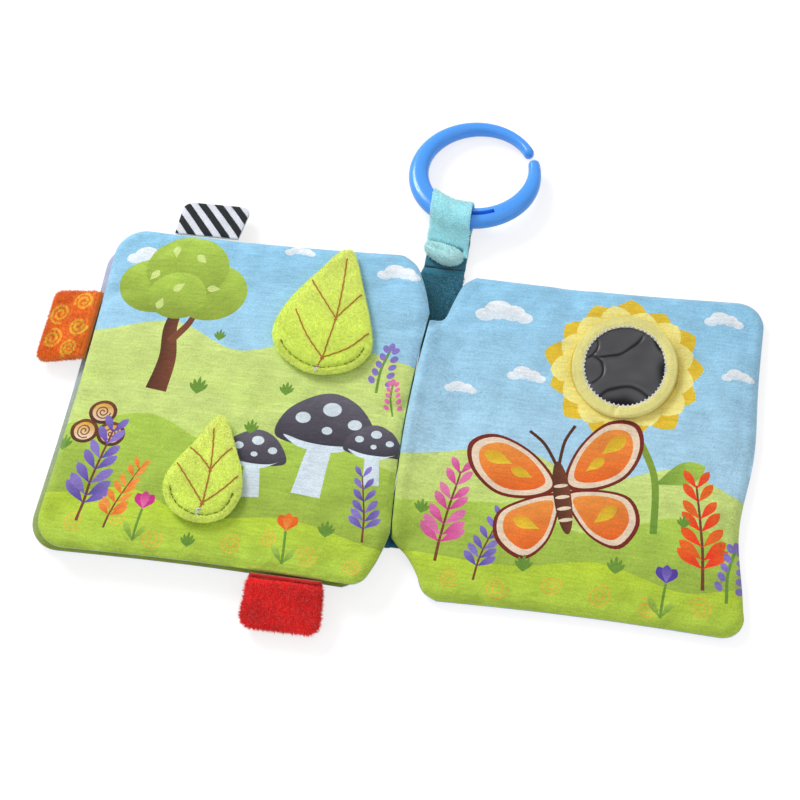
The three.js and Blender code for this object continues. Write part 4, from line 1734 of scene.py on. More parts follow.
    @staticmethod
    def outside(low: Sequence[float], high: Sequence[float], seed: int) -> list[Patch]:
        """Return the lavender covers' pattern of dots, swirls and small leaves.

        Args:
            low: lowest corner of the cloth.
            high: highest corner.
            seed: seed of its random draws.

        Returns:
            The printed shapes.
        """
        chance = np.random.default_rng(seed)
        out: list[Patch] = []
        for row, y in enumerate(np.arange(low[1] + 12, high[1] - 6, 24)):
            for x in np.arange(low[0] + 12 + 12 * (row % 2), high[0] - 6, 24):
                turn = float(chance.uniform(0, 360))
                kind = int(chance.integers(3))
                if kind == 0:
                    out.append(Patch(ribbon(spiral(x, y, 5.5, 1.8, turn), 1.3), Dye.LAVENDER_DEEP))
                elif kind == 1:
                    out += [Patch(petal(x, y, 5.5, 2.8, turn + 120 * i), Dye.PLUM_PALE)
                            for i in range(3)]
                else:
                    out.append(Patch(ellipse(x, y, 2.6, 2.6, 0, 18), Dye.WHITE))
        return out


def dress(piece: Piece, body: str, slot: str, *nodes: str) -> Piece:
    """Tie a piece to its body and hide the solids that it stands for.

    Args:
        piece: the finished mesh.
        body: body that it moves with.
        slot: not used.
        nodes: solids that it stands for.

    Returns:
        The piece.
    """
    if nodes:
        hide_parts(*nodes)
    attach(piece, body)
    return piece


def moved(piece: Piece, matrix: Matrix) -> Piece:
    """Move a piece's points, so that its object stays at the origin.

    Args:
        piece: a mesh.
        matrix: the move in metres.

    Returns:
        The piece.
    """
    piece.data.transform(matrix)
    piece.data.update()
    return piece


def low_high(node: str) -> tuple[np.ndarray, np.ndarray]:
    """Return a solid's lowest and highest corner in millimetres."""
    low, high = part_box(node)
    return np.array(low) / MM, np.array(high) / MM


@dataclass(frozen=True)
class Fold:
    """A soft valley pressed into a pad, deepest at its start."""

    start: Pair
    end: Pair
    depth: float
    width: float

    def dip(self, points: Points) -> np.ndarray:
        """Return how deep the valley is at points.

        Args:
            points: places in millimetres.

        Returns:
            A depth for each point.
        """
        first, run = np.array(self.start), np.array(self.end) - np.array(self.start)
        share = np.clip((points - first) @ run / (run @ run), 0, 1)
        away = np.linalg.norm(points - first - share[:, None] * run, axis=1)
        return self.depth * (1 - 0.8 * share ** 2) * np.exp(-(away / self.width) ** 2)


COVER_GROUND = (Dye.LAVENDER, Dye.LAVENDER)


@dataclass
class Cloth:
    """One printed cloth of a panel."""

    slot: str
    outline: Points
    ground: tuple[Colour, Colour]
    print: list[Patch]


@dataclass
class StuffedPanel:
    """A cover or page: two printed cloths sewn round their edge over wadding."""

    name: str
    sides: tuple[str, str]
    upper: Cloth
    lower: Cloth
    seed: float
    rests: bool
    crown_reach: float = 17.0
    under_reach: float = 9.0
    slack: float = 0.55
    spare: float = -0.1
    folds: Sequence[Fold] = ()
    lift: Relief | None = None
    wraps: tuple[str, ...] = ()

    def _dips(self, points: Points) -> np.ndarray:
        """Return the folds' dips at points, as heights below zero."""
        return -sum((fold.dip(points) for fold in self.folds), np.zeros(len(points)))

    def build(self, shop: Workshop) -> tuple[Piece, Piece]:
        """Make the panel's two cloths.

        Args:
            shop: finishes and trees.

        Returns:
            The upper piece, and the lower one, which rides on the panel's body already.
        """
        upper_node, lower_node = (f"{self.name}_{side}_cloth" for side in self.sides)
        upper_low, upper_high = low_high(upper_node)
        lower_low, lower_high = low_high(lower_node)
        seam = (upper_low[2] + lower_high[2]) / 2
        crown = upper_high[2] - seam
        depth = seam - lower_low[2]
        front = Pad(
            f"{self.name}_front", self.upper.outline, seam, crown - self.slack, self.crown_reach,
            Patch(self.upper.outline, *self.upper.ground), self.upper.print,
            flat=crown - self.spare, seed=self.seed, lay=self._dips, lift=self.lift, swell=1.15,
            detail=Puffing(self.upper.outline).run(),
        ).build(shop.printed)
        back = Pad(
            f"{self.name}_back", self.lower.outline, seam,
            depth if self.rests else depth - self.slack,
            self.under_reach if self.rests else self.crown_reach,
            Patch(self.lower.outline, *self.lower.ground), self.lower.print, Face.DOWN,
            swell=0 if self.rests else 0.4, flat=depth, seed=self.seed + 20,
        ).build(shop.printed)
        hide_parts(upper_node, f"{self.name}_wadding", *self.wraps)
        return front, dress(back, self.name, self.lower.slot, lower_node)


@dataclass
class Spine:
    """The strip of cloth outside the spine, which joins the covers."""

    sheet: float = 0.9
    reach: float = 59.0
    bow: float = 3.0
    steps: int = 60

    def build(self, shop: Workshop) -> Piece:
        """Make the strip, with its ends drawn in between the covers.

        Args:
            shop: finishes and trees.

        Returns:
            The strip.
        """
        low, high = low_high("spine_outer_cloth")
        rise = high[2] - self.sheet
        middle = (low[0] + high[0]) / 2
        half = (high[0] - low[0]) / 2
        line = smooth([
            (low[0], rise), (low[0] + 0.9, 1.2), (low[0] + 2.4, 0.1), (middle, 0.0),
            (high[0] - 2.4, 0.1), (high[0] - 0.9, 1.2), (high[0], rise),
        ], 4, closed=False)
        out = leftwards(np.gradient(line, axis=0))
        ring = np.concatenate([line, (line + out * self.sheet)[::-1]])
        piece = swept("spine_outside", [
            [(x, share * (self.reach - self.bow * (1 - ((x - middle) / half) ** 2)), z)
             for x, z in ring]
            for share in np.linspace(-1, 1, self.steps)
        ], shop.spine)
        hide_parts("spine_outer_cloth")
        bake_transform(piece)
        return piece


@dataclass(frozen=True)
class Crease:
    """A crease in the film along part of a circle, placed from the mirror's middle, along which a
    dark reflection is painted.
    """

    x: float
    y: float
    radius: float
    width: float
    depth: float
    start: float
    end: float
    fade: float = 12.0

    def at(self, x: float, y: float) -> Pair:
        """Find how strongly the crease shows at a place.

        Args:
            x: distance along X from the mirror's middle, in millimetres.
            y: distance along Y.

        Returns:
            Shares of the crease's own valley and of the shoulder outside it.
        """
        turn = (math.degrees(math.atan2(y - self.y, x - self.x)) - self.start) % 360
        span = (self.end - self.start) % 360
        strength = min(1.0, min(turn, span - turn) / self.fade) if turn < span else 0.0
        away = (math.hypot(x - self.x, y - self.y) - self.radius) / self.width
        return (math.exp(-away ** 2) * strength,
                math.exp(-((away - 2.4) / 1.5) ** 2) * strength)


@dataclass
class Mirror:
    """The film mirror in its bound rim, on the right page.

    Each of its sags has a middle, a reach along X and a reach along Y. Its creases and sags are
    painted dark, as reflection and shade.
    """

    band: float = 5.6
    film_inset: float = 3.6
    film_rings: int = 60
    film_steps: int = 160
    steps: int = 180
    sag_depth: float = 0.25
    creases: tuple[Crease, ...] = (
        Crease(-13.0, 25.0, 21.5, 0.8, 0.32, -95, -15), Crease(-19.0, 8.5, 6.2, 0.6, 0.22, -80, 70),
        Crease(-16.5, -3.0, 7.4, 0.6, 0.22, -70, 80), Crease(19.0, 15.0, 6.5, 0.6, 0.22, 150, 290),
        Crease(2.0, -26.0, 15.5, 0.9, 0.22, 40, 150),
    )
    sags: tuple[tuple[float, float, float, float], ...] = (
        (1.0, -19.5, 9.0, 5.0), (18.5, -0.5, 4.0, 6.5),
    )

    def build(self, shop: Workshop) -> list[Piece]:
        """Make the binding, its stitches and the film.

        Args:
            shop: finishes and trees.

        Returns:
            The three pieces.
        """
        low, high = low_high("mirror_rim_binding")
        self.middle = (low[:2] + high[:2]) / 2
        self.radii = (high[:2] - low[:2]) / 2
        self.base, self.top = low[2], high[2]
        self.film_top = low_high("mirror_film")[1][2]
        edge = shop.stitches.sew("mirror_zigzag", [self._edge()], shop.white_thread,
                                 pitch=1.05, length=1.9, radius=0.2, slant=52.0)
        dress(edge, "back_cover", "rim_binding")
        return [self._binding(shop), edge, self._film(shop)]

    def _point(self, angle: float, inset: float) -> np.ndarray:
        """Return the place at an angle, some way in from the rim's outer edge."""
        return self.middle + (self.radii - inset) * (math.cos(angle), math.sin(angle))

    def _binding(self, shop: Workshop) -> Piece:
        """Make the bound rim, drawn together where its ends meet.

        Args:
            shop: finishes and trees.

        Returns:
            The piece.
        """
        rise = self.top - self.base
        profile = [(0.0, 0.0), (0.05, 0.45), (0.4, 0.8), (1.0, 0.93), (1.5, 0.86), (2.1, 0.99),
                   (3.2, 1.0), (4.4, 0.94), (5.2, 0.78), (self.band, 0.55), (5.4, 0.42),
                   (3.4, 0.4), (3.2, 0.0)]
        sections = []
        for i in range(self.steps):
            angle = 2 * math.pi * i / self.steps
            past_join = (angle + 1.5 * math.pi + 0.1) % (2 * math.pi) - math.pi
            join = math.exp(-(past_join * 20) ** 2)
            section = []
            for inset, height in profile:
                free = 1 if height > 0.5 else 0
                gather = 0.09 * free * ripple(angle * 9, inset * 0.3, 8.0)
                pull = (0.3 * free * ripple(angle * 5, 2.0, 4.0)) if inset > 3 else 0
                up = height * (1 - 0.45 * join * free) + gather
                section.append((*self._point(angle, inset + pull), self.base + rise * up))
            sections.append(section)
        piece = swept("mirror_binding", sections, shop.binding, True)
        return dress(piece, "back_cover", "rim_binding", "mirror_rim_binding")

    def _edge(self) -> Points:
        """Follow the zigzag along the binding's inner edge.

        Returns:
            Points in millimetres.
        """
        path = []
        for angle in np.linspace(0, 2 * math.pi, self.steps):
            slip = 0.35 * ripple(angle * 11, 1.0, 6.0)
            path.append((*self._point(angle, self.band - 0.5 + slip),
                         self.base + (self.top - self.base) * 0.84))
        return np.array(path)

    def _film(self, shop: Workshop) -> Piece:
        """Make the creased film as a disc that ends under the binding, with painted dark
        reflections and shade.

        Args:
            shop: finishes and trees.

        Returns:
            The piece.
        """
        top: list[list[Place]] = []
        under: list[list[Place]] = []
        painted_shades: list[list[float]] = []
        for share in np.linspace(0, 1, self.film_rings + 1)[1:]:
            places = [self.middle + (self.radii - self.film_inset) * share * facing(degrees)
                      for degrees in np.linspace(0, 360, self.film_steps, endpoint=False)]
            looks = [self._crease(place, share) for place in places]
            top.append([(*place, self.film_top + rise) for place, (rise, _) in zip(places, looks)])
            under.append([(*place, self.base + PAD_BASE) for place in places])
            painted_shades.append([dark for _, dark in looks])
        piece = swept("mirror_sheet", [*top, *under[::-1]], shop.film)
        # Painted reflection and shade: the film is painted darker along its creases and in its
        # sags.
        dark = np.array([*painted_shades, *painted_shades[::-1]]).reshape(-1, 1)
        paint_points(piece, np.array(Dye.FILM) * (1 - dark) + np.array(Dye.FILM_PAINTED_SHADE) * dark)
        return dress(piece, "back_cover", "mirror_film", "mirror_film", "mirror_backing")

    def _crease(self, place: np.ndarray, share: float) -> Pair:
        """Return the film's rise over its flat at a place, and how dark it is painted there.

        A crease is part of a circle, and the film sags along it and is painted dark there as a
        reflection. Two broad sags near the rim are painted dark too, as shade, since they face away
        from the light.

        Args:
            place: the place in millimetres.
            share: how far out it lies, from 0 in the middle to 1 at the edge.

        Returns:
            The rise in millimetres, and the painted darkness from 0 to 1.
        """
        x, y = place - self.middle
        x += 0.9 * ripple(x / 7, y / 7, 2.0)
        y += 0.9 * ripple(x / 7, y / 7, 9.0)
        # The darkness is painted: reflections along each crease, shade in the two sags, and an
        # uneven darkening all over.
        rise, dark = 0.0, 0.0
        for crease in self.creases:
            line, shoulder = crease.at(x, y)
            rise += crease.depth * (0.5 * shoulder - line)
            dark = max(dark, 0.85 * line)
        for cx, cy, rx, ry in self.sags:
            pool = math.exp(-(((x - cx) / rx) ** 2 + ((y - cy) / ry) ** 2) ** 2)
            dark = max(dark, 0.9 * pool)
            rise -= self.sag_depth * pool
        rise += 0.16 * ripple(x / 8, y / 8, 30.0)
        dark = min(1.0, dark + 0.16 * (1 + ripple(x / 9, y / 5, 17.0)))
        return rise * min(1.0, (1 - share) * 5), dark


@dataclass
class LeafFlap:
    """A plush leaf that lifts about its round end."""

    name: str
    shape: list[Pair]
    main_vein: list[Pair]
    side_veins: list[list[Pair]]
    seed: float
    lip: float = 3.3
    lip_rise: float = 14.0
    vein_rise: float = 0.12
    thread: float = 0.34

    def build(self, shop: Workshop) -> list[Piece]:
        """Make the flap's two cloths, its veins, its lip's stitches and its pile.

        Args:
            shop: finishes and trees.

        Returns:
            The flap's pieces.
        """
        self.outline = anticlockwise(evenly(smooth(self.shape, 8), 1.2))
        front_low, front_high = low_high(f"{self.name}_front_cloth")
        back_low, back_high = low_high(f"{self.name}_back_cloth")
        self.seam = (front_low[2] + back_high[2]) / 2
        self.crown = Pad(
            f"{self.name}_top", self.outline, self.seam, front_high[2] - self.seam - 0.5, 8.0,
            Patch(self.outline, Dye.LEAF, Dye.LEAF_EDGE), [self._lip_patch()], spacing=1.3,
            rings=(0.25, 0.8, 1.8), pucker=0.5, pucker_length=4.0, swell=0.4,
            seed=self.seed, lay=self._lip_line, detail=Puffing(self.outline, 2.4, 0.25).run(),
        )
        depth = self.seam - back_low[2]
        under = Pad(
            f"{self.name}_under", self.outline, self.seam, depth, 8.0,
            Patch(self.outline, Dye.LEAF, Dye.LIME), face=Face.DOWN, spacing=2.0, swell=0.0,
            flat=depth, seed=self.seed + 3,
        )
        front = self.crown.build(shop.leaf)
        back = under.build(shop.leaf)
        pieces = [
            *self._veins(shop),
            # Painted shade: dark stitches in the lip's groove.
            shop.stitches.sew(f"{self.name}_lip", [self._slit()], shop.slit_shade,
                              pitch=3.2, length=2.3, radius=self.thread, slant=5.0),
            shop.fibres.grow(f"{self.name}_pile", front, shop.leaf_pile, self._pile,
                             density=1.6e7, length=0.8, radius=0.16, lean=2.2),
        ]
        for piece in pieces:
            dress(piece, self.name, "leaf_plush")
        dress(front, self.name, "leaf_plush", f"{self.name}_front_cloth", f"{self.name}_wadding")
        dress(back, self.name, "leaf_plush", f"{self.name}_back_cloth")
        return [front, back, *pieces]

    def _on_crown(self, line: Points, above: float) -> Points:
        """Return a flat line's points laid on the crown.

        Args:
            line: X and Y of its points.
            above: how far it lies over the cloth in millimetres.

        Returns:
            X, Y and Z of its points.
        """
        return np.column_stack([line, self.seam + PAD_EDGE + self.crown.relief(line) + above])

    def _veins(self, shop: Workshop) -> list[Piece]:
        """Sew the veins, and a white bar over the main vein's foot.

        Args:
            shop: finishes and trees.

        Returns:
            The bar and the veins.
        """
        paths = []
        for vein in (self.main_vein, *self.side_veins):
            path = evenly_open(smooth(vein, 14, closed=False), 0.9)
            away, _ = edge_distance(path, self.outline)
            paths.append(path[away > (1.6 if paths else self.lip + 0.8)])
        foot = paths[0][-1]
        step = (foot - paths[0][-3]) / np.linalg.norm(foot - paths[0][-3])
        bar = evenly_open(np.array([foot + step * 0.4, foot + step * 2.8]), 0.5)
        return [
            shop.stitches.sew(f"{self.name}_tack", [self._on_crown(bar, 0.35)],
                              shop.white_thread, pitch=0.8, length=1.9, radius=0.3, slant=62.0),
            shop.stitches.sew(f"{self.name}_veins",
                              [self._on_crown(path, self.vein_rise) for path in paths],
                              shop.thread, pitch=2.0, length=2.15, radius=self.thread, slant=5.0),
        ]

    def _pile(self, places: Points) -> np.ndarray:
        """Return the pile's share, fullest on the lip and none on the base.

        Args:
            places: places in millimetres.

        Returns:
            A share for each place.
        """
        away, _ = edge_distance(places[:, :2], self.outline)
        low = places[:, 1] < self.outline[:, 1].min() + self.lip_rise
        return (places[:, 2] > self.seam + PILE_FOOT) * (0.75 + 0.6 * ((away < self.lip) & low))

    def _lip_line(self, points: Points) -> np.ndarray:
        """Return the dip of the stitched line that makes the lip at the round end.

        Args:
            points: places in millimetres.

        Returns:
            A height for each point, below zero.
        """
        away, _ = edge_distance(points, self.outline)
        foot = self.outline[:, 1].min()
        share = np.clip((foot + self.lip_rise + 2 - points[:, 1]) / 5, 0, 1)
        return -1.7 * np.exp(-((away - self.lip) / 0.9) ** 2) * share

    def _low_part(self, loop: Points) -> Points:
        """Return a loop's points at the leaf's round end, from left to right."""
        low = loop[loop[:, 1] < self.outline[:, 1].min() + self.lip_rise]
        return low[np.argsort(low[:, 0])]

    def _lip_patch(self) -> Patch:
        """Draw the lip as a paler patch, a painted highlight where light catches its roll.

        Returns:
            The patch.
        """
        inner = self._low_part(drawn_in(self.outline, self.lip))
        edge = np.concatenate([self._low_part(self.outline), inner[::-1]])
        return Patch(edge, Dye.LEAF_LIP_HIGHLIGHT)

    def _slit(self) -> Points:
        """Return the line of the dark stitches that lie in the lip's groove, as painted shade of
        the slit.
        """
        return self._on_crown(self._low_part(drawn_in(self.outline, self.lip)), 0.2)


@dataclass
class Tag:
    """A sewn tag that stands out from the left page's edge."""

    name: str
    width: float
    length: float
    thickness: float
    droop: float
    seam_point: Place
    turn: float
    slot: str
    material: Material
    ground: Colour
    patches: list[Patch]
    # Painted shade: colour of a darker strip along the seam, where the page's edge shades the tag;
    # strip is that strip's width.
    shade: Colour | None = None
    corner: float = 5.0
    pile_length: float = 0.0
    bare: float = 1.2
    strip: float = 1.9

    def outline(self) -> Points:
        """Draw the tag's outline, with X running out from its seam.

        Returns:
            Points in millimetres.
        """
        half = self.width / 2
        loop: list[Pair] = [(0, -half + 1)]
        for sign in (-1, 1):
            for angle in np.radians(np.linspace(-90, 0, 8) if sign < 0 else np.linspace(0, 90, 8)):
                loop.append((self.length - self.corner + self.corner * math.cos(angle),
                             sign * (half - self.corner) + self.corner * math.sin(angle)))
        loop.append((0, half - 1))
        return evenly(np.array(loop), 1.0)

    def _fullness(self, places: Points) -> np.ndarray:
        """Find the pile's share, none at the seam and uneven further out.

        Args:
            places: places in millimetres.

        Returns:
            A share for each place.
        """
        out = places[:, 0] - self.bare
        nap = np.array([0.8 + 0.2 * ripple(x / 9, y / 9, self.width) for x, y, _ in places])
        return (out > 0) * np.clip(0.25 + 0.3 * out, 0, 1) * nap

    def build(self, shop: Workshop) -> list[Piece]:
        """Make the tag's two faces and their pile.

        Args:
            shop: finishes and trees.

        Returns:
            The pieces.
        """
        outline = self.outline()
        patches = self.patches
        # Painted shade: a darker strip along the seam, under the pile.
        if self.shade is not None:
            reach = self.width / 2 + 2
            strip = [(-2, -reach), (self.strip, -reach), (self.strip, reach), (-2, reach)]
            patches = [Patch(np.array(strip), self.shade), *patches]
        place = (
            Matrix.Translation(Vector(self.seam_point) * MM)
            @ Matrix.Rotation(math.radians(self.turn), 4, "Z")
            @ Matrix.Rotation(math.radians(self.droop), 4, "Y")
        )
        thick = self.thickness / 2
        pieces = []
        for face, side in ((Face.UP, "top"), (Face.DOWN, "under")):
            piece = Pad(
                f"{self.name}_{side}", outline, 0.0, thick, 5.0, Patch(outline, self.ground),
                patches, face, spacing=1.3, rings=(0.2, 0.6, 1.3), pucker=min(0.35, thick * 0.2),
                pucker_length=4.0, swell=min(0.5, thick * 0.25), flat=thick + 0.4,
                seed=self.turn + self.width,
            ).build(self.material)
            if self.pile_length:
                pile = shop.fibres.grow(
                    f"{piece.name}_pile", piece, self.material,
                    lambda p, s=face.value: (s * p[:, 2] > PILE_FOOT) * self._fullness(p),
                    density=8.0e6, length=self.pile_length, radius=0.2, lean=1.5,
                )
                pieces.append(dress(moved(pile, place), self.name, self.slot))
            moved(piece, place)
            nodes = [self.name] if face is Face.UP else []
            pieces.append(dress(piece, self.name, self.slot, *nodes))
        return pieces


@dataclass
class Strap:
    """The plush strap, from the spine round the ring and back, with its hem and anchor."""

    left: float = -11.2
    right: float = 8.4
    layer: float = 1.5
    low: float = 1.2
    fold: float = 83.0
    stitch_end: float = 94.0
    arm_height: float = 9.1
    arm_radius: float = 27.0
    ring_middle: Pair = (6.3, 133.8)
    reach_y: float = 6.6
    reach_z: float = 6.6
    loop_back: float = 0.6
    # Pressed into the band above the hem, and painted darker along it as shade.
    crease: Fold = Fold((5.5, 91.2), (-10.6, 95.0), 1.3, 0.75)
    pressed: float = 0.8
    bumps: float = 0.2
    waver: float = 0.4
    columns: int = 30

    def build(self, shop: Workshop) -> list[Piece]:
        """Make the strap's three pieces and their pile.

        Args:
            shop: finishes and trees.

        Returns:
            The strap's pieces.
        """
        loop = self._loop(shop)
        hem = self._hem(shop)
        pieces = [loop, hem, self._anchor(shop)]
        for piece, density, where in ((loop, 6.0e6, self._outside),
                                      (hem, 9.0e6, lambda p: np.ones(len(p)))):
            pile = shop.fibres.grow(f"{piece.name}_pile", piece, shop.strap_pile, where,
                                    density=density, length=0.9, radius=0.14, lean=2.2)
            pieces.append(dress(pile, "strap", "strap_plush"))
        return pieces

    def _outside(self, places: np.ndarray) -> np.ndarray:
        """Return 1 at places that aren't on the loop's inside, and 0 at the rest.

        Args:
            places: places in millimetres.

        Returns:
            A share for each place.
        """
        x, y, z = places.T
        middle = np.array([self._arm_y(value) for value in x])
        y_share = (y - middle) / (self.reach_y + self.layer * 0.6)
        z_share = (z - self.arm_height) / (self.reach_z + self.layer * 0.6)
        # No pile on the crease, so that its painted shade shows.
        clear = self.crease.dip(places[:, :2]) < 0.3
        return ((y_share ** 2 + z_share ** 2 > 1) & clear & self._front(places)).astype(float)

    def _arm_y(self, x: float) -> float:
        """Find the middle of the ring's arm.

        Args:
            x: where to look, in millimetres.

        Returns:
            Its Y in millimetres.
        """
        away = x - self.ring_middle[0]
        arm = self.ring_middle[1] - math.sqrt(self.arm_radius ** 2 - away ** 2)
        return arm - self.loop_back

    def _skewed(self, x: float, y: float) -> float:
        """Return Y after the loop has followed the ring's arm.

        Args:
            x: place across the strap.
            y: Y of the straight loop.

        Returns:
            Y in millimetres.
        """
        middle = self._arm_y(-1.4)
        run = middle - self.reach_y - self.stitch_end + 8
        share = np.clip((y - self.stitch_end + 8) / run, 0, 1)
        share = share * share * (3 - 2 * share)
        return y + (self._arm_y(x) - middle) * share

    def _band(self, line: Points, material: Material) -> Piece:
        """Carry a line across the strap as a band with round edges.

        Args:
            line: Y and Z of the band's middle line.
            material: its finish.

        Returns:
            The band.
        """
        out = -leftwards(np.gradient(line, axis=0))
        half = self.layer / 2
        edge = half * 0.3
        across = [self.left + half + (self.right - self.left - self.layer) * share
                  for share in np.linspace(0, 1, self.columns)]
        profile = [
            *((x, half) for x in across),
            (self.right - edge, half * 0.7), (self.right, 0), (self.right - edge, -half * 0.7),
            *((x, -half) for x in across[::-1]),
            (self.left + edge, -half * 0.7), (self.left, 0), (self.left + edge, half * 0.7),
        ]
        middle = (self.left + self.right) / 2
        sections = []
        for i, centre in enumerate(line):
            section = []
            for x, offset in profile:
                bumps = self.bumps * ripple(x / 5, i / 5, 12.0)
                side = self.waver * ripple(i / 7, 1.0 if x > middle else 4.0, 2.0)
                y, z = centre + out[i] * (offset + bumps)
                section.append((x + side, self._skewed(x, y), z))
            sections.append(section)
        return swept("strap_band", sections, material)

    def _loop(self, shop: Workshop) -> Piece:
        """Make the band that runs out, round the ring and back, with painted shade on its lower
        layer and in its crease.

        Args:
            shop: finishes and trees.

        Returns:
            The piece.
        """
        middle = self._arm_y(-1.4)
        ring_y, ring_z = self.reach_y + self.layer / 2, self.reach_z + self.layer / 2
        angles = np.radians(np.linspace(-88, 166, 56))
        arc = np.stack([middle + ring_y * np.cos(angles),
                        self.arm_height + ring_z * np.sin(angles)], axis=1)
        lower = smooth([(self.fold, self.low + self.layer / 2), (90, self.low + self.layer / 2),
                        (98, self.low + self.layer / 2), tuple(arc[0])], 8, closed=False)[:-1]
        upper_z = self.low + self.layer * 1.5
        back = smooth([arc[-1], (97.6, 8.4), (self.stitch_end - 1, upper_z + 1.8),
                       (90.5, upper_z + 0.3), (self.fold + 5.5, upper_z)], 7, closed=False)
        line = evenly_open(np.concatenate([lower, arc, back[1:]]), 0.8)
        piece = self._band(line, shop.strap)
        places = np.array([v.co[:] for v in piece.data.vertices]) / MM
        front = self._front(places)
        # Painted shade: the band is pressed in along the crease and painted darker there.
        deep = np.where(front, self.crease.dip(places[:, :2]), 0) / self.crease.depth
        for vertex, share in zip(piece.data.vertices, deep):
            vertex.co.z -= self.pressed * share * MM
        unshaded_share = np.clip(1 - 1.6 * deep, 0, 1)[:, None] * front[:, None]
        # Painted shade: the lower layer takes the darker teal of the notch, darker still in the
        # crease.
        dark = np.array(Dye.TEAL_DARK) * (1 - 0.6 * deep[:, None])
        paint_points(piece, unshaded_share * np.array(Dye.TEAL) + (1 - unshaded_share) * dark)
        return dress(piece, "strap", "strap_plush", "strap_loop")

    def _front(self, places: np.ndarray) -> np.ndarray:
        """Return whether places lie on the band's front layer or its bend."""
        return (places[:, 2] > self.low + self.layer + 0.5) | (places[:, 1] > 103)

    def _hem(self, shop: Workshop) -> Piece:
        """Make the folded end that stands proud of the strap, aslant, as a lip, painted paler as a
        highlight.

        Args:
            shop: finishes and trees.

        Returns:
            The piece.
        """
        low, high = low_high("strap_hem")
        shape = anticlockwise(evenly(smooth([
            (-10.8, 94.0), (-4.2, 93.4), (4.0, 90.9), (6.6, 87.2), (5.0, 83.9), (-1.5, 82.9),
            (-9.0, 86.8), (-12.0, 91.0),
        ], 8), 0.7))
        mouth = Fold((-10.2, 91.4), (1.5, 87.0), 1.6, 0.9)
        shadow = Fold((-3.5, 89.4), (-10.6, 91.9), 0.7, 0.8)
        # Painted highlight: the lip is a paler teal.
        pad = Pad("strap_fold", shape, low[2], high[2] - low[2] + 1.9, 3.4,
                  Patch(shape, Dye.TEAL_PAINTED_HIGHLIGHT), [], Face.UP, spacing=0.8, rings=(0.2, 0.6, 1.2),
                  pucker=0.25, pucker_length=2.4, swell=0.35, seed=6,
                  lay=lambda points: -mouth.dip(points) - shadow.dip(points))
        piece = pad.build(shop.strap)
        return dress(piece, "strap", "strap_plush", "strap_hem")

    def _anchor(self, shop: Workshop) -> Piece:
        """Make the part of the strap that is sewn inside the spine, painted a darker teal as shade
        in the notch.

        Args:
            shop: finishes and trees.

        Returns:
            The lower part.
        """
        low, high = low_high("strap_anchor")
        outline = evenly(np.array([
            (low[0] + 7.3, low[1]), (high[0] - 1.5, low[1]), (high[0], 62), (high[0], high[1] + 3),
            (low[0] - 0.5, high[1] + 3), (low[0] - 1.2, high[1] - 1), (low[0] - 1.9, high[1] - 5),
            (low[0] - 1.0, high[1] - 10),
            (low[0] + 2.2, 66), (low[0] + 5.8, 56),
        ]), 1.0)
        height = high[2] - low[2] + 0.1
        valley = Fold((-2.0, high[1] - 6), (1.0, low[1]), 1.1, 3.6)

        def tucked(points: Points) -> np.ndarray:
            """Return how far the cloth has slipped under the band, from 0 to 1."""
            return np.clip((points[:, 1] - high[1] + 0.6) / 0.9, 0, 1)

        def lay(points: Points) -> np.ndarray:
            """Thin the cloth where it is under the band, and press its middle in."""
            under = tucked(points)
            return -under * (height - 0.4) - (1 - under) * valley.dip(points)

        # Painted shade: the anchor's darker teal stands for the shade in the notch.
        pad = Pad("strap_foot", outline, low[2], height, 2.0,
                  Patch(outline, Dye.TEAL_DARK), [], Face.UP, spacing=0.9, rings=(0.3, 0.9),
                  pucker=0.2, swell=0.7, seed=9, lay=lay,
                  lift=lambda points: -1.0 * tucked(points))
        piece = pad.build(shop.strap_painted_shade)
        pile = shop.fibres.grow(
            "strap_foot_pile", piece, shop.strap_painted_shade_pile,
            lambda p: ((p[:, 2] > low[2] + PILE_FOOT) & (p[:, 1] < high[1] - 3.2)).astype(float),
            density=7.0e6, length=1.2, radius=0.17, lean=2.0,
        )
        dress(pile, "front_cover", "strap_cloth")
        return dress(piece, "front_cover", "strap_cloth", "strap_anchor")


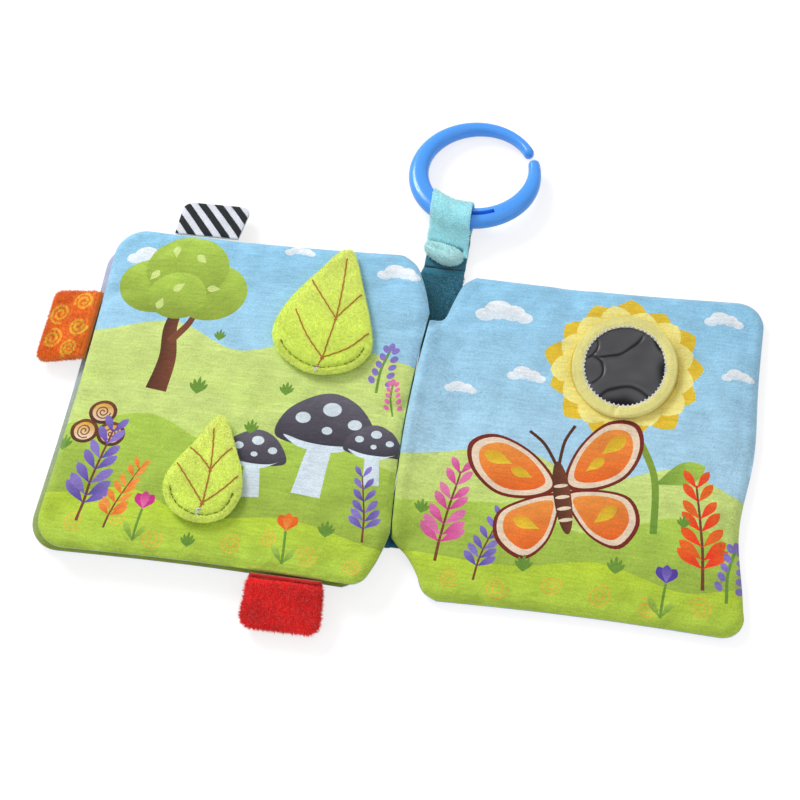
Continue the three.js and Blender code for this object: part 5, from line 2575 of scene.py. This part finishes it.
@dataclass
class Ring:
    """The plastic ring, with a thin mouth and a curved slot."""

    outer: float = 32.3
    inner: float = 23.4
    offset: Pair = (0.5, 1.6)
    thickness: float = 7.6
    centre: Pair = (6.3, 133.8)
    mouth: float = 25.5
    gap: float = 3.0
    tip_draw: float = 1.6
    tip_rise: float = 1.0
    tip_length: float = 5.6
    slot_width: float = 2.2
    slot_radius: float = 26.9
    slot_angles: Pair = (-112.0, -63.0)
    arm_height: float = 9.3
    arm_y: float = 109.9
    clearance: float = 0.3
    power: float = 2.3
    steps: int = 150
    around: int = 28

    def build(self, shop: Workshop) -> Piece:
        """Make the ring in its place, leaning down from the strap's loop.

        Args:
            shop: finishes and trees.

        Returns:
            The ring.
        """
        gap = math.degrees(self.gap / self.slot_radius)
        start, end = self.mouth + gap / 2, self.mouth - gap / 2 + 360
        shares = 1 - np.cos(np.linspace(0, math.pi / 2, 9))
        tips = [(self.tip_length * t, max(math.sqrt(1 - (1 - t) ** 2), 0.12)) for t in shares]
        run = end - start - 2 * self.tip_length
        stations = [
            *((start + a, s) for a, s in tips),
            *((start + self.tip_length + run * i / self.steps, 1.0)
              for i in range(1, self.steps)),
            *((end - a, s) for a, s in tips[::-1]),
        ]
        sections = [self._section(degrees, share, degrees - start, end - degrees)
                    for degrees, share in stations]
        piece = swept("clip_ring", sections, shop.ring)
        self._cut_slot(piece)
        far = self.centre[1] + self.outer - self.arm_y
        tilt = math.asin((self.arm_height - self.thickness / 2 - self.clearance) / far)
        moved(piece, (
            Matrix.Translation(Vector((0, self.arm_y, self.arm_height)) * MM)
            @ Matrix.Rotation(-tilt, 4, "X")
            @ Matrix.Translation(Vector((self.centre[0], self.centre[1] - self.arm_y, 0)) * MM)
        ))
        piece.data.materials.clear()
        piece.data.materials.append(shop.ring)
        return dress(piece, "ring", "ring_plastic", "ring")

    def _section(self, degrees: float, share: float, past: float,
                 left: float) -> list[Place]:
        """Return the points of the ring's section at an angle.

        Args:
            degrees: the angle.
            share: its size there, less than 1 at the round tips.
            past: degrees since the mouth.
            left: degrees to the mouth.

        Returns:
            Its points, round the section.
        """
        way = facing(degrees)
        slim = max(math.exp(-((past / 75) ** 2)), 0.9 * math.exp(-((left / 38) ** 2)))
        outer = self.outer - self.tip_draw * slim
        inner = self.inner + float(way @ np.array(self.offset)) + self.tip_rise * slim
        middle, half = (outer + inner) / 2, (outer - inner) / 2 * share
        thick = self.thickness / 2 * (1 - 0.2 * slim) * share
        turns = [2 * math.pi * i / self.around for i in range(self.around)]
        return [(*(way * (middle + half * self._round(math.cos(turn)))),
                 thick * self._round(math.sin(turn))) for turn in turns]

    def _round(self, value: float) -> float:
        """Return a cosine or sine bent towards a rounded square."""
        return math.copysign(abs(value) ** (2 / self.power), value)

    def _cut_slot(self, piece: Piece) -> None:
        """Cut the curved slot through the ring.

        Args:
            piece: the ring about its own centre.
        """
        start, end = (math.radians(a) for a in self.slot_angles)
        path = [(self.slot_radius * math.cos(a), self.slot_radius * math.sin(a))
                for a in np.linspace(start, end, 30)]
        loop = ribbon(np.array(path), self.slot_width)
        count = len(loop)
        deep = self.thickness
        points = [(x, y, -deep) for x, y in loop] + [(x, y, deep) for x, y in loop]
        faces = [tuple(range(count))[::-1], tuple(range(count, 2 * count))]
        faces += [(i, (i + 1) % count, count + (i + 1) % count, count + i) for i in range(count)]
        cutter = make_mesh("slot_cutter", points, faces, False)
        set_outwards(cutter)
        cut = piece.modifiers.new("slot", "BOOLEAN")
        cut.operation = "DIFFERENCE"
        cut.solver = "EXACT"
        cut.object = cutter
        as_plain_mesh(piece)
        bpy.data.objects.remove(cutter)
        piece.data.set_sharp_from_angle(angle=math.radians(40))


@dataclass
class Studio:
    """Floor, lights, background and camera, as the object was photographed."""

    floor_reach: float = 3000.0
    floor_glow: float = 0.72
    ambient: float = 0.42
    view_angles: Place = (62.566, 19.068, -10.811)
    target: Place = (-0.011307, 0.013012, 0.0)
    distance: float = 0.675043
    lens: float = 67.5

    def build(self) -> None:
        """Set the stage."""
        self._floor()
        self._world()
        self._light("key_light", (-0.75, 0.7, 0.8), 0.5, 10.5)
        self._light("fill_light", (0.8, -0.35, 0.75), 0.9, 1.8)
        self._light("top_light", (0.0, 0.1, 1.3), 1.0, 1.4)
        self._light("front_light", (-0.7, -0.8, 0.5), 0.9, 1.5)
        self._camera()
        bpy.context.scene.view_settings.view_transform = "Standard"

    def _floor(self) -> None:
        """Add a floor that is white to the camera, apart from the object's soft shadow."""
        material = bpy.data.materials.new("white_floor")
        material.use_nodes = True
        nodes = Nodes(material.node_tree)
        unseen = nodes.take("ShaderNodeBsdfPrincipled", "BSDF", {
            "Base Color": (0.8, 0.8, 0.8, 1), "Roughness": 1.0, "Specular IOR Level": 0.0})
        glow = nodes.take("ShaderNodeEmission", "Emission", {"Strength": self.floor_glow})
        lit = nodes.take("ShaderNodeBsdfDiffuse", "BSDF", {"Color": (0.4, 0.4, 0.4, 1)})
        seen = nodes.take("ShaderNodeAddShader", "Shader", {0: glow, 1: lit})
        choice = nodes.take("ShaderNodeMixShader", "Shader", {0: nodes.seen(), 1: unseen, 2: seen})
        nodes.add("ShaderNodeOutputMaterial", {"Surface": choice})
        corners = [(x * self.floor_reach, y * self.floor_reach, -0.05)
                   for x, y in ((-1, -1), (1, -1), (1, 1), (-1, 1))]
        floor = make_mesh("floor", corners, [(0, 1, 2, 3)], False)
        floor.data.materials.append(material)

    def _world(self) -> None:
        """Light the scene from all round, with a white background to the camera."""
        world = bpy.data.worlds.new("white")
        bpy.context.scene.world = world
        world.use_nodes = True
        nodes = Nodes(world.node_tree)
        level = nodes.take("ShaderNodeMapRange", "Result", {
            "Value": nodes.seen(), "To Min": self.ambient, "To Max": 1.0})
        background = nodes.take("ShaderNodeBackground", "Background", {
            "Color": (1, 1, 1, 1), "Strength": level})
        nodes.add("ShaderNodeOutputWorld", {"Surface": background})

    @staticmethod
    def _light(name: str, place: Place, size: float, power: float) -> None:
        """Add a square area light aimed at the middle of the object.

        Args:
            name: its name.
            place: where it stands, in metres.
            size: its side in metres.
            power: its power in watts.
        """
        data = bpy.data.lights.new(name, "AREA")
        data.size = size
        data.energy = power
        light = bpy.data.objects.new(name, data)
        light.location = place
        light.rotation_euler = (-Vector(place)).to_track_quat("-Z", "Y").to_euler()
        bpy.context.scene.collection.objects.link(light)

    def _camera(self) -> None:
        """Place the camera where the photo was taken from."""
        elevation, azimuth, roll = (math.radians(a) for a in self.view_angles)
        back = Vector((math.sin(azimuth) * math.cos(elevation),
                       -math.cos(azimuth) * math.cos(elevation), math.sin(elevation)))
        right = Vector((0, 0, 1)).cross(back).normalized()
        turn = Matrix.Rotation(roll, 3, back)
        data = bpy.data.cameras.new("camera")
        data.lens = self.lens
        data.sensor_width = 36
        camera = bpy.data.objects.new("camera", data)
        matrix = Matrix((turn @ right, turn @ back.cross(right), back)).transposed().to_4x4()
        matrix.translation = Vector(self.target) + back * self.distance
        camera.matrix_world = matrix
        bpy.context.scene.collection.objects.link(camera)
        bpy.context.scene.camera = camera


class ClothBook:
    """The whole book."""

    def __init__(self) -> None:
        """Make the finishes and the trees."""
        self.shop = Workshop()

    def build(self) -> list[Piece]:
        """Make every sub-assembly.

        Returns:
            The pieces.
        """
        return [
            *self._front_cover(), *self._page(), *self._back_cover(),
            Spine().build(self.shop), *Mirror().build(self.shop),
            *self._leaves(), *self._tags(), *Strap().build(self.shop),
            Ring().build(self.shop),
        ]

    def _front_cover(self) -> tuple[Piece, Piece]:
        """Make the front cover, on the left under the page.

        Returns:
            Its two cloths.
        """
        low, high = low_high("front_cover_inner_cloth")
        shape = PanelShape(np.array([-high[0], low[1]]), np.array([-low[0], high[1]]))
        outline = flipped(shape.outline(
            [(6.3, -57), (8.2, -66), (12.6, -73.5), (20.5, low[1])],
            [(6.3, 57), (8.2, 66), (12.6, 73.5), (20.5, high[1])],
        ))
        front, back = StuffedPanel(
            "front_cover", ("inner", "outer"),
            Cloth("meadow_cloth", outline, (Dye.OLIVE, Dye.LAVENDER), Prints.meadow(low, high, 4)),
            Cloth("lavender_cloth", outline, COVER_GROUND, Prints.outside(low, high, 5)),
            1.0, True, crown_reach=14,
        ).build(self.shop)
        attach(front, "front_cover")
        return front, back

    def _page(self) -> tuple[Piece, Piece]:
        """Make the page, on the left over the front cover.

        Returns:
            Its two cloths.
        """
        low, high = low_high("page_front_cloth")
        shape = PanelShape(np.array([-high[0], low[1]]), np.array([-low[0], high[1]]),
                           inner_draw=-2.6)
        outline = flipped(shape.outline(
            [(3.3, -55), (5.6, -65), (10.2, -76.6), (15, low[1])],
            [(3.3, 53), (5.6, 61), (9.4, 70.6), (13.4, 77.4), (20.0, high[1])],
        ))
        front, back = StuffedPanel(
            "page", ("front", "back"),
            Cloth("sky_cloth", outline, (Dye.SKY_PALE, Dye.SKY), Prints.left_page()),
            Cloth("meadow_cloth", outline, (Dye.LIME, Dye.GROUND), Prints.meadow(low, high, 7)),
            2.0, False, spare=0.45, folds=(
                Fold((-156, 2), (-128, 4), 1.5, 3.2), Fold((-156, -9), (-134, -11), 1.2, 2.6),
                Fold((-154, 44), (-138, 50), 1.3, 3.5), Fold((-150, -66), (-128, -50), 1.4, 5),
                Fold((-6, 44), (-30, 38), 1.4, 4), Fold((-8, -50), (-34, -42), 1.5, 4.5),
                Fold((-64, -79), (-66, -64), 1.4, 3), Fold((-24, -79), (-26, -66), 1.2, 3),
                Fold((-98, 80), (-96, 66), 1.2, 3), Fold((-133, 80), (-131, 68), 1.2, 3),
                Fold((-4, 4), (-22, -6), 1.2, 4),
            ),
        ).build(self.shop)
        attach(front, "page")
        return front, back

    def _back_cover(self) -> tuple[Piece, Piece]:
        """Make the back cover, whose inner cloth runs on to the groove at the spine.

        Returns:
            Its two cloths.
        """
        low, high = low_high("back_cover_inner_cloth")
        groove = -2.7
        wide = PanelShape(np.array([groove, low[1]]), high[:2], 9.0, 12.0, inner_draw=2.8,
                          outer_wave=1.0)
        inner = wide.outline(
            [(groove, -56.5), (0.6, -59.5), (4.6, -62.5), (9.6, -69.2), (13.4, -76.4),
             (19.5, low[1])],
            [(groove, 50), (0.4, 50.8), (3.6, 53.8), (6.2, 65), (9.2, 73.6), (14.5, high[1])],
        )
        outer = PanelShape(low[:2], high[:2], 9.0, 12.0, outer_wave=1.0).outline(
            [(low[0], -57), (9.4, -63), (10.4, -70.5), (13.4, -76.4), (19.5, low[1])],
            [(low[0], 57), (7.6, 63), (7.8, 69), (9.4, 73.6), (14.5, high[1])],
        )
        rim_low, rim_high = low_high("mirror_rim_binding")
        ridge = low_high("spine_inner_cloth")[1][2]
        seam = (low[2] + low_high("back_cover_outer_cloth")[1][2]) / 2

        def lift(points: Points) -> np.ndarray:
            """Find how far the cloth climbs towards the groove, least at the spine's ends.

            Args:
                points: places in millimetres.

            Returns:
                A height for each place.
            """
            share = np.clip((points[:, 0] - groove) / (17 - groove), 0, 1)
            ends = np.clip((np.abs(points[:, 1]) - 50) / 16, 0, 1)
            return (ridge - 0.7 - seam) * (1 - share) ** 2 * (1 - 0.6 * ends)

        front, back = StuffedPanel(
            "back_cover", ("inner", "outer"),
            Cloth("sky_cloth", inner, (Dye.SKY_PALE, Dye.SKY),
                  Prints.right_page(tuple((rim_low + rim_high)[:2] / 2))),
            Cloth("lavender_cloth", outer, COVER_GROUND, Prints.outside(low, high, 6)),
            3.0, True, crown_reach=20, lift=lift, wraps=("spine_inner_cloth",), folds=(
                Fold((0, 49), (26, 51), 2.2, 3.6), Fold((2, 40), (16, 22), 1.7, 4.2),
                Fold((14, 22), (20, -12), 1.2, 5), Fold((1, 8), (16, 0), 1.3, 4),
                Fold((0, -20), (24, -30), 1.4, 4.5), Fold((4, -56), (30, -44), 1.8, 4.5),
                Fold((148, -2), (124, -10), 1.7, 5), Fold((146, -40), (128, -52), 1.5, 5),
                Fold((140, 62), (118, 40), 1.2, 6), Fold((60, 76), (62, 52), 1.1, 6),
                Fold((52, 30), (44, 8), 1.2, 6),
            ),
        ).build(self.shop)
        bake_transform(front)
        return front, back

    def _leaves(self) -> list[Piece]:
        """Make both leaf flaps, whose vein ends are given from the tip down.

        Returns:
            Their pieces.
        """
        large = LeafFlap(
            "large_leaf",
            [(-45.6, 78.4), (-41.2, 76.2), (-34.2, 58.5), (-26.3, 35.8), (-25.8, 25.5),
             (-32.9, 16.8), (-47.7, 12.9), (-60.5, 17.2), (-69.2, 25.6), (-71.6, 36.0),
             (-66.2, 51.2), (-55.5, 67.2), (-49.4, 76.0)],
            [(-44.4, 71.9), (-43.6, 56), (-43.8, 41.2), (-45.2, 29), (-46.1, 20.5), (-48.1, 15.4)],
            [[(-57.6, 58.9), (-51.5, 51), (-43.8, 41.2)],
             [(-33.9, 55.5), (-38.6, 49), (-43.8, 41.2)],
             [(-62.3, 42.9), (-55.4, 31.5), (-46.1, 20.5)],
             [(-26.6, 36.7), (-35.2, 27), (-46.1, 20.5)]],
            11.0,
        )
        small = LeafFlap(
            "small_leaf",
            [(-86.0, -12.6), (-81.9, -15.0), (-75.7, -27.2), (-70.6, -38.4), (-69.0, -49.3),
             (-73.2, -59.0), (-82.6, -63.2), (-93.0, -61.6), (-100.8, -55.2), (-103.8, -45.8),
             (-100.6, -36.2), (-94.4, -26.2), (-89.2, -15.6)],
            [(-87.2, -18.7), (-85.5, -29), (-84.3, -39.2), (-84.2, -48), (-84.3, -54.9),
             (-85, -57.5)],
            [[(-94.6, -30.2), (-89.8, -33.6), (-84.3, -39.2)],
             [(-77.1, -27.7), (-80.4, -32), (-84.3, -39.2)],
             [(-98.7, -38.5), (-92, -46), (-84.3, -54.9)],
             [(-72.3, -41.5), (-77.4, -48), (-84.3, -54.9)]],
            12.0,
        )
        return [piece for leaf in (large, small)
                for piece in leaf.build(self.shop)]

    def _tags(self) -> list[Piece]:
        """Make the three tags on the left page.

        Returns:
            Their pieces.
        """
        seam_z = 11.3
        stripes = [
            Patch(np.array([(-2.0, low), (30.0, low + 26), (30.0, low + 30.2), (-2.0, low + 4.2)]),
                  Dye.INK)
            for low in (-30 + 8.4 * i for i in range(-3, 9))
        ]
        curls = [
            Patch(ribbon(spiral(*curl[:3], 2.0, curl[3]), 1.25), Dye.AMBER)
            for curl in ((7, -11, 5.2, 0.4), (18, -5, 5.6, 2.0), (6.5, 2, 4.8, 3.2),
                         (18.5, 8.5, 5.2, 5.0), (8, 13.5, 4.4, 1.0))
        ]
        striped = Tag("stripe_tag", 33, 22, 2, 14, (-115, 82.1, seam_z), 90, "stripe_cloth",
                      self.shop.stripe, Dye.WHITE, stripes)
        curled = Tag("swirl_tag", 36.5, 25.5, 5, 15, (-157.1, 29, seam_z), 180, "orange_plush",
                     self.shop.plush, Dye.ORANGE, curls, Dye.ORANGE_PAINTED_SHADE, pile_length=1.4,
                     corner=3.0)
        red = Tag("red_tag", 33.5, 22.5, 5.4, 16, (-43.5, -80.5, seam_z), -90, "red_plush",
                  self.shop.plush, Dye.RED, [], Dye.RED_PAINTED_SHADE, pile_length=2.1, bare=1.3)
        return [piece for tag in (striped, curled, red) for piece in tag.build(self.shop)]


def main() -> None:
    """Dress the book and set the stage."""
    logging.basicConfig(level=logging.INFO)
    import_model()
    for piece in ClothBook().build():
        LOG.info("%s has %d faces", piece.name, len(piece.data.polygons))
    Studio().build()


if __name__ == "__main__":
    main()
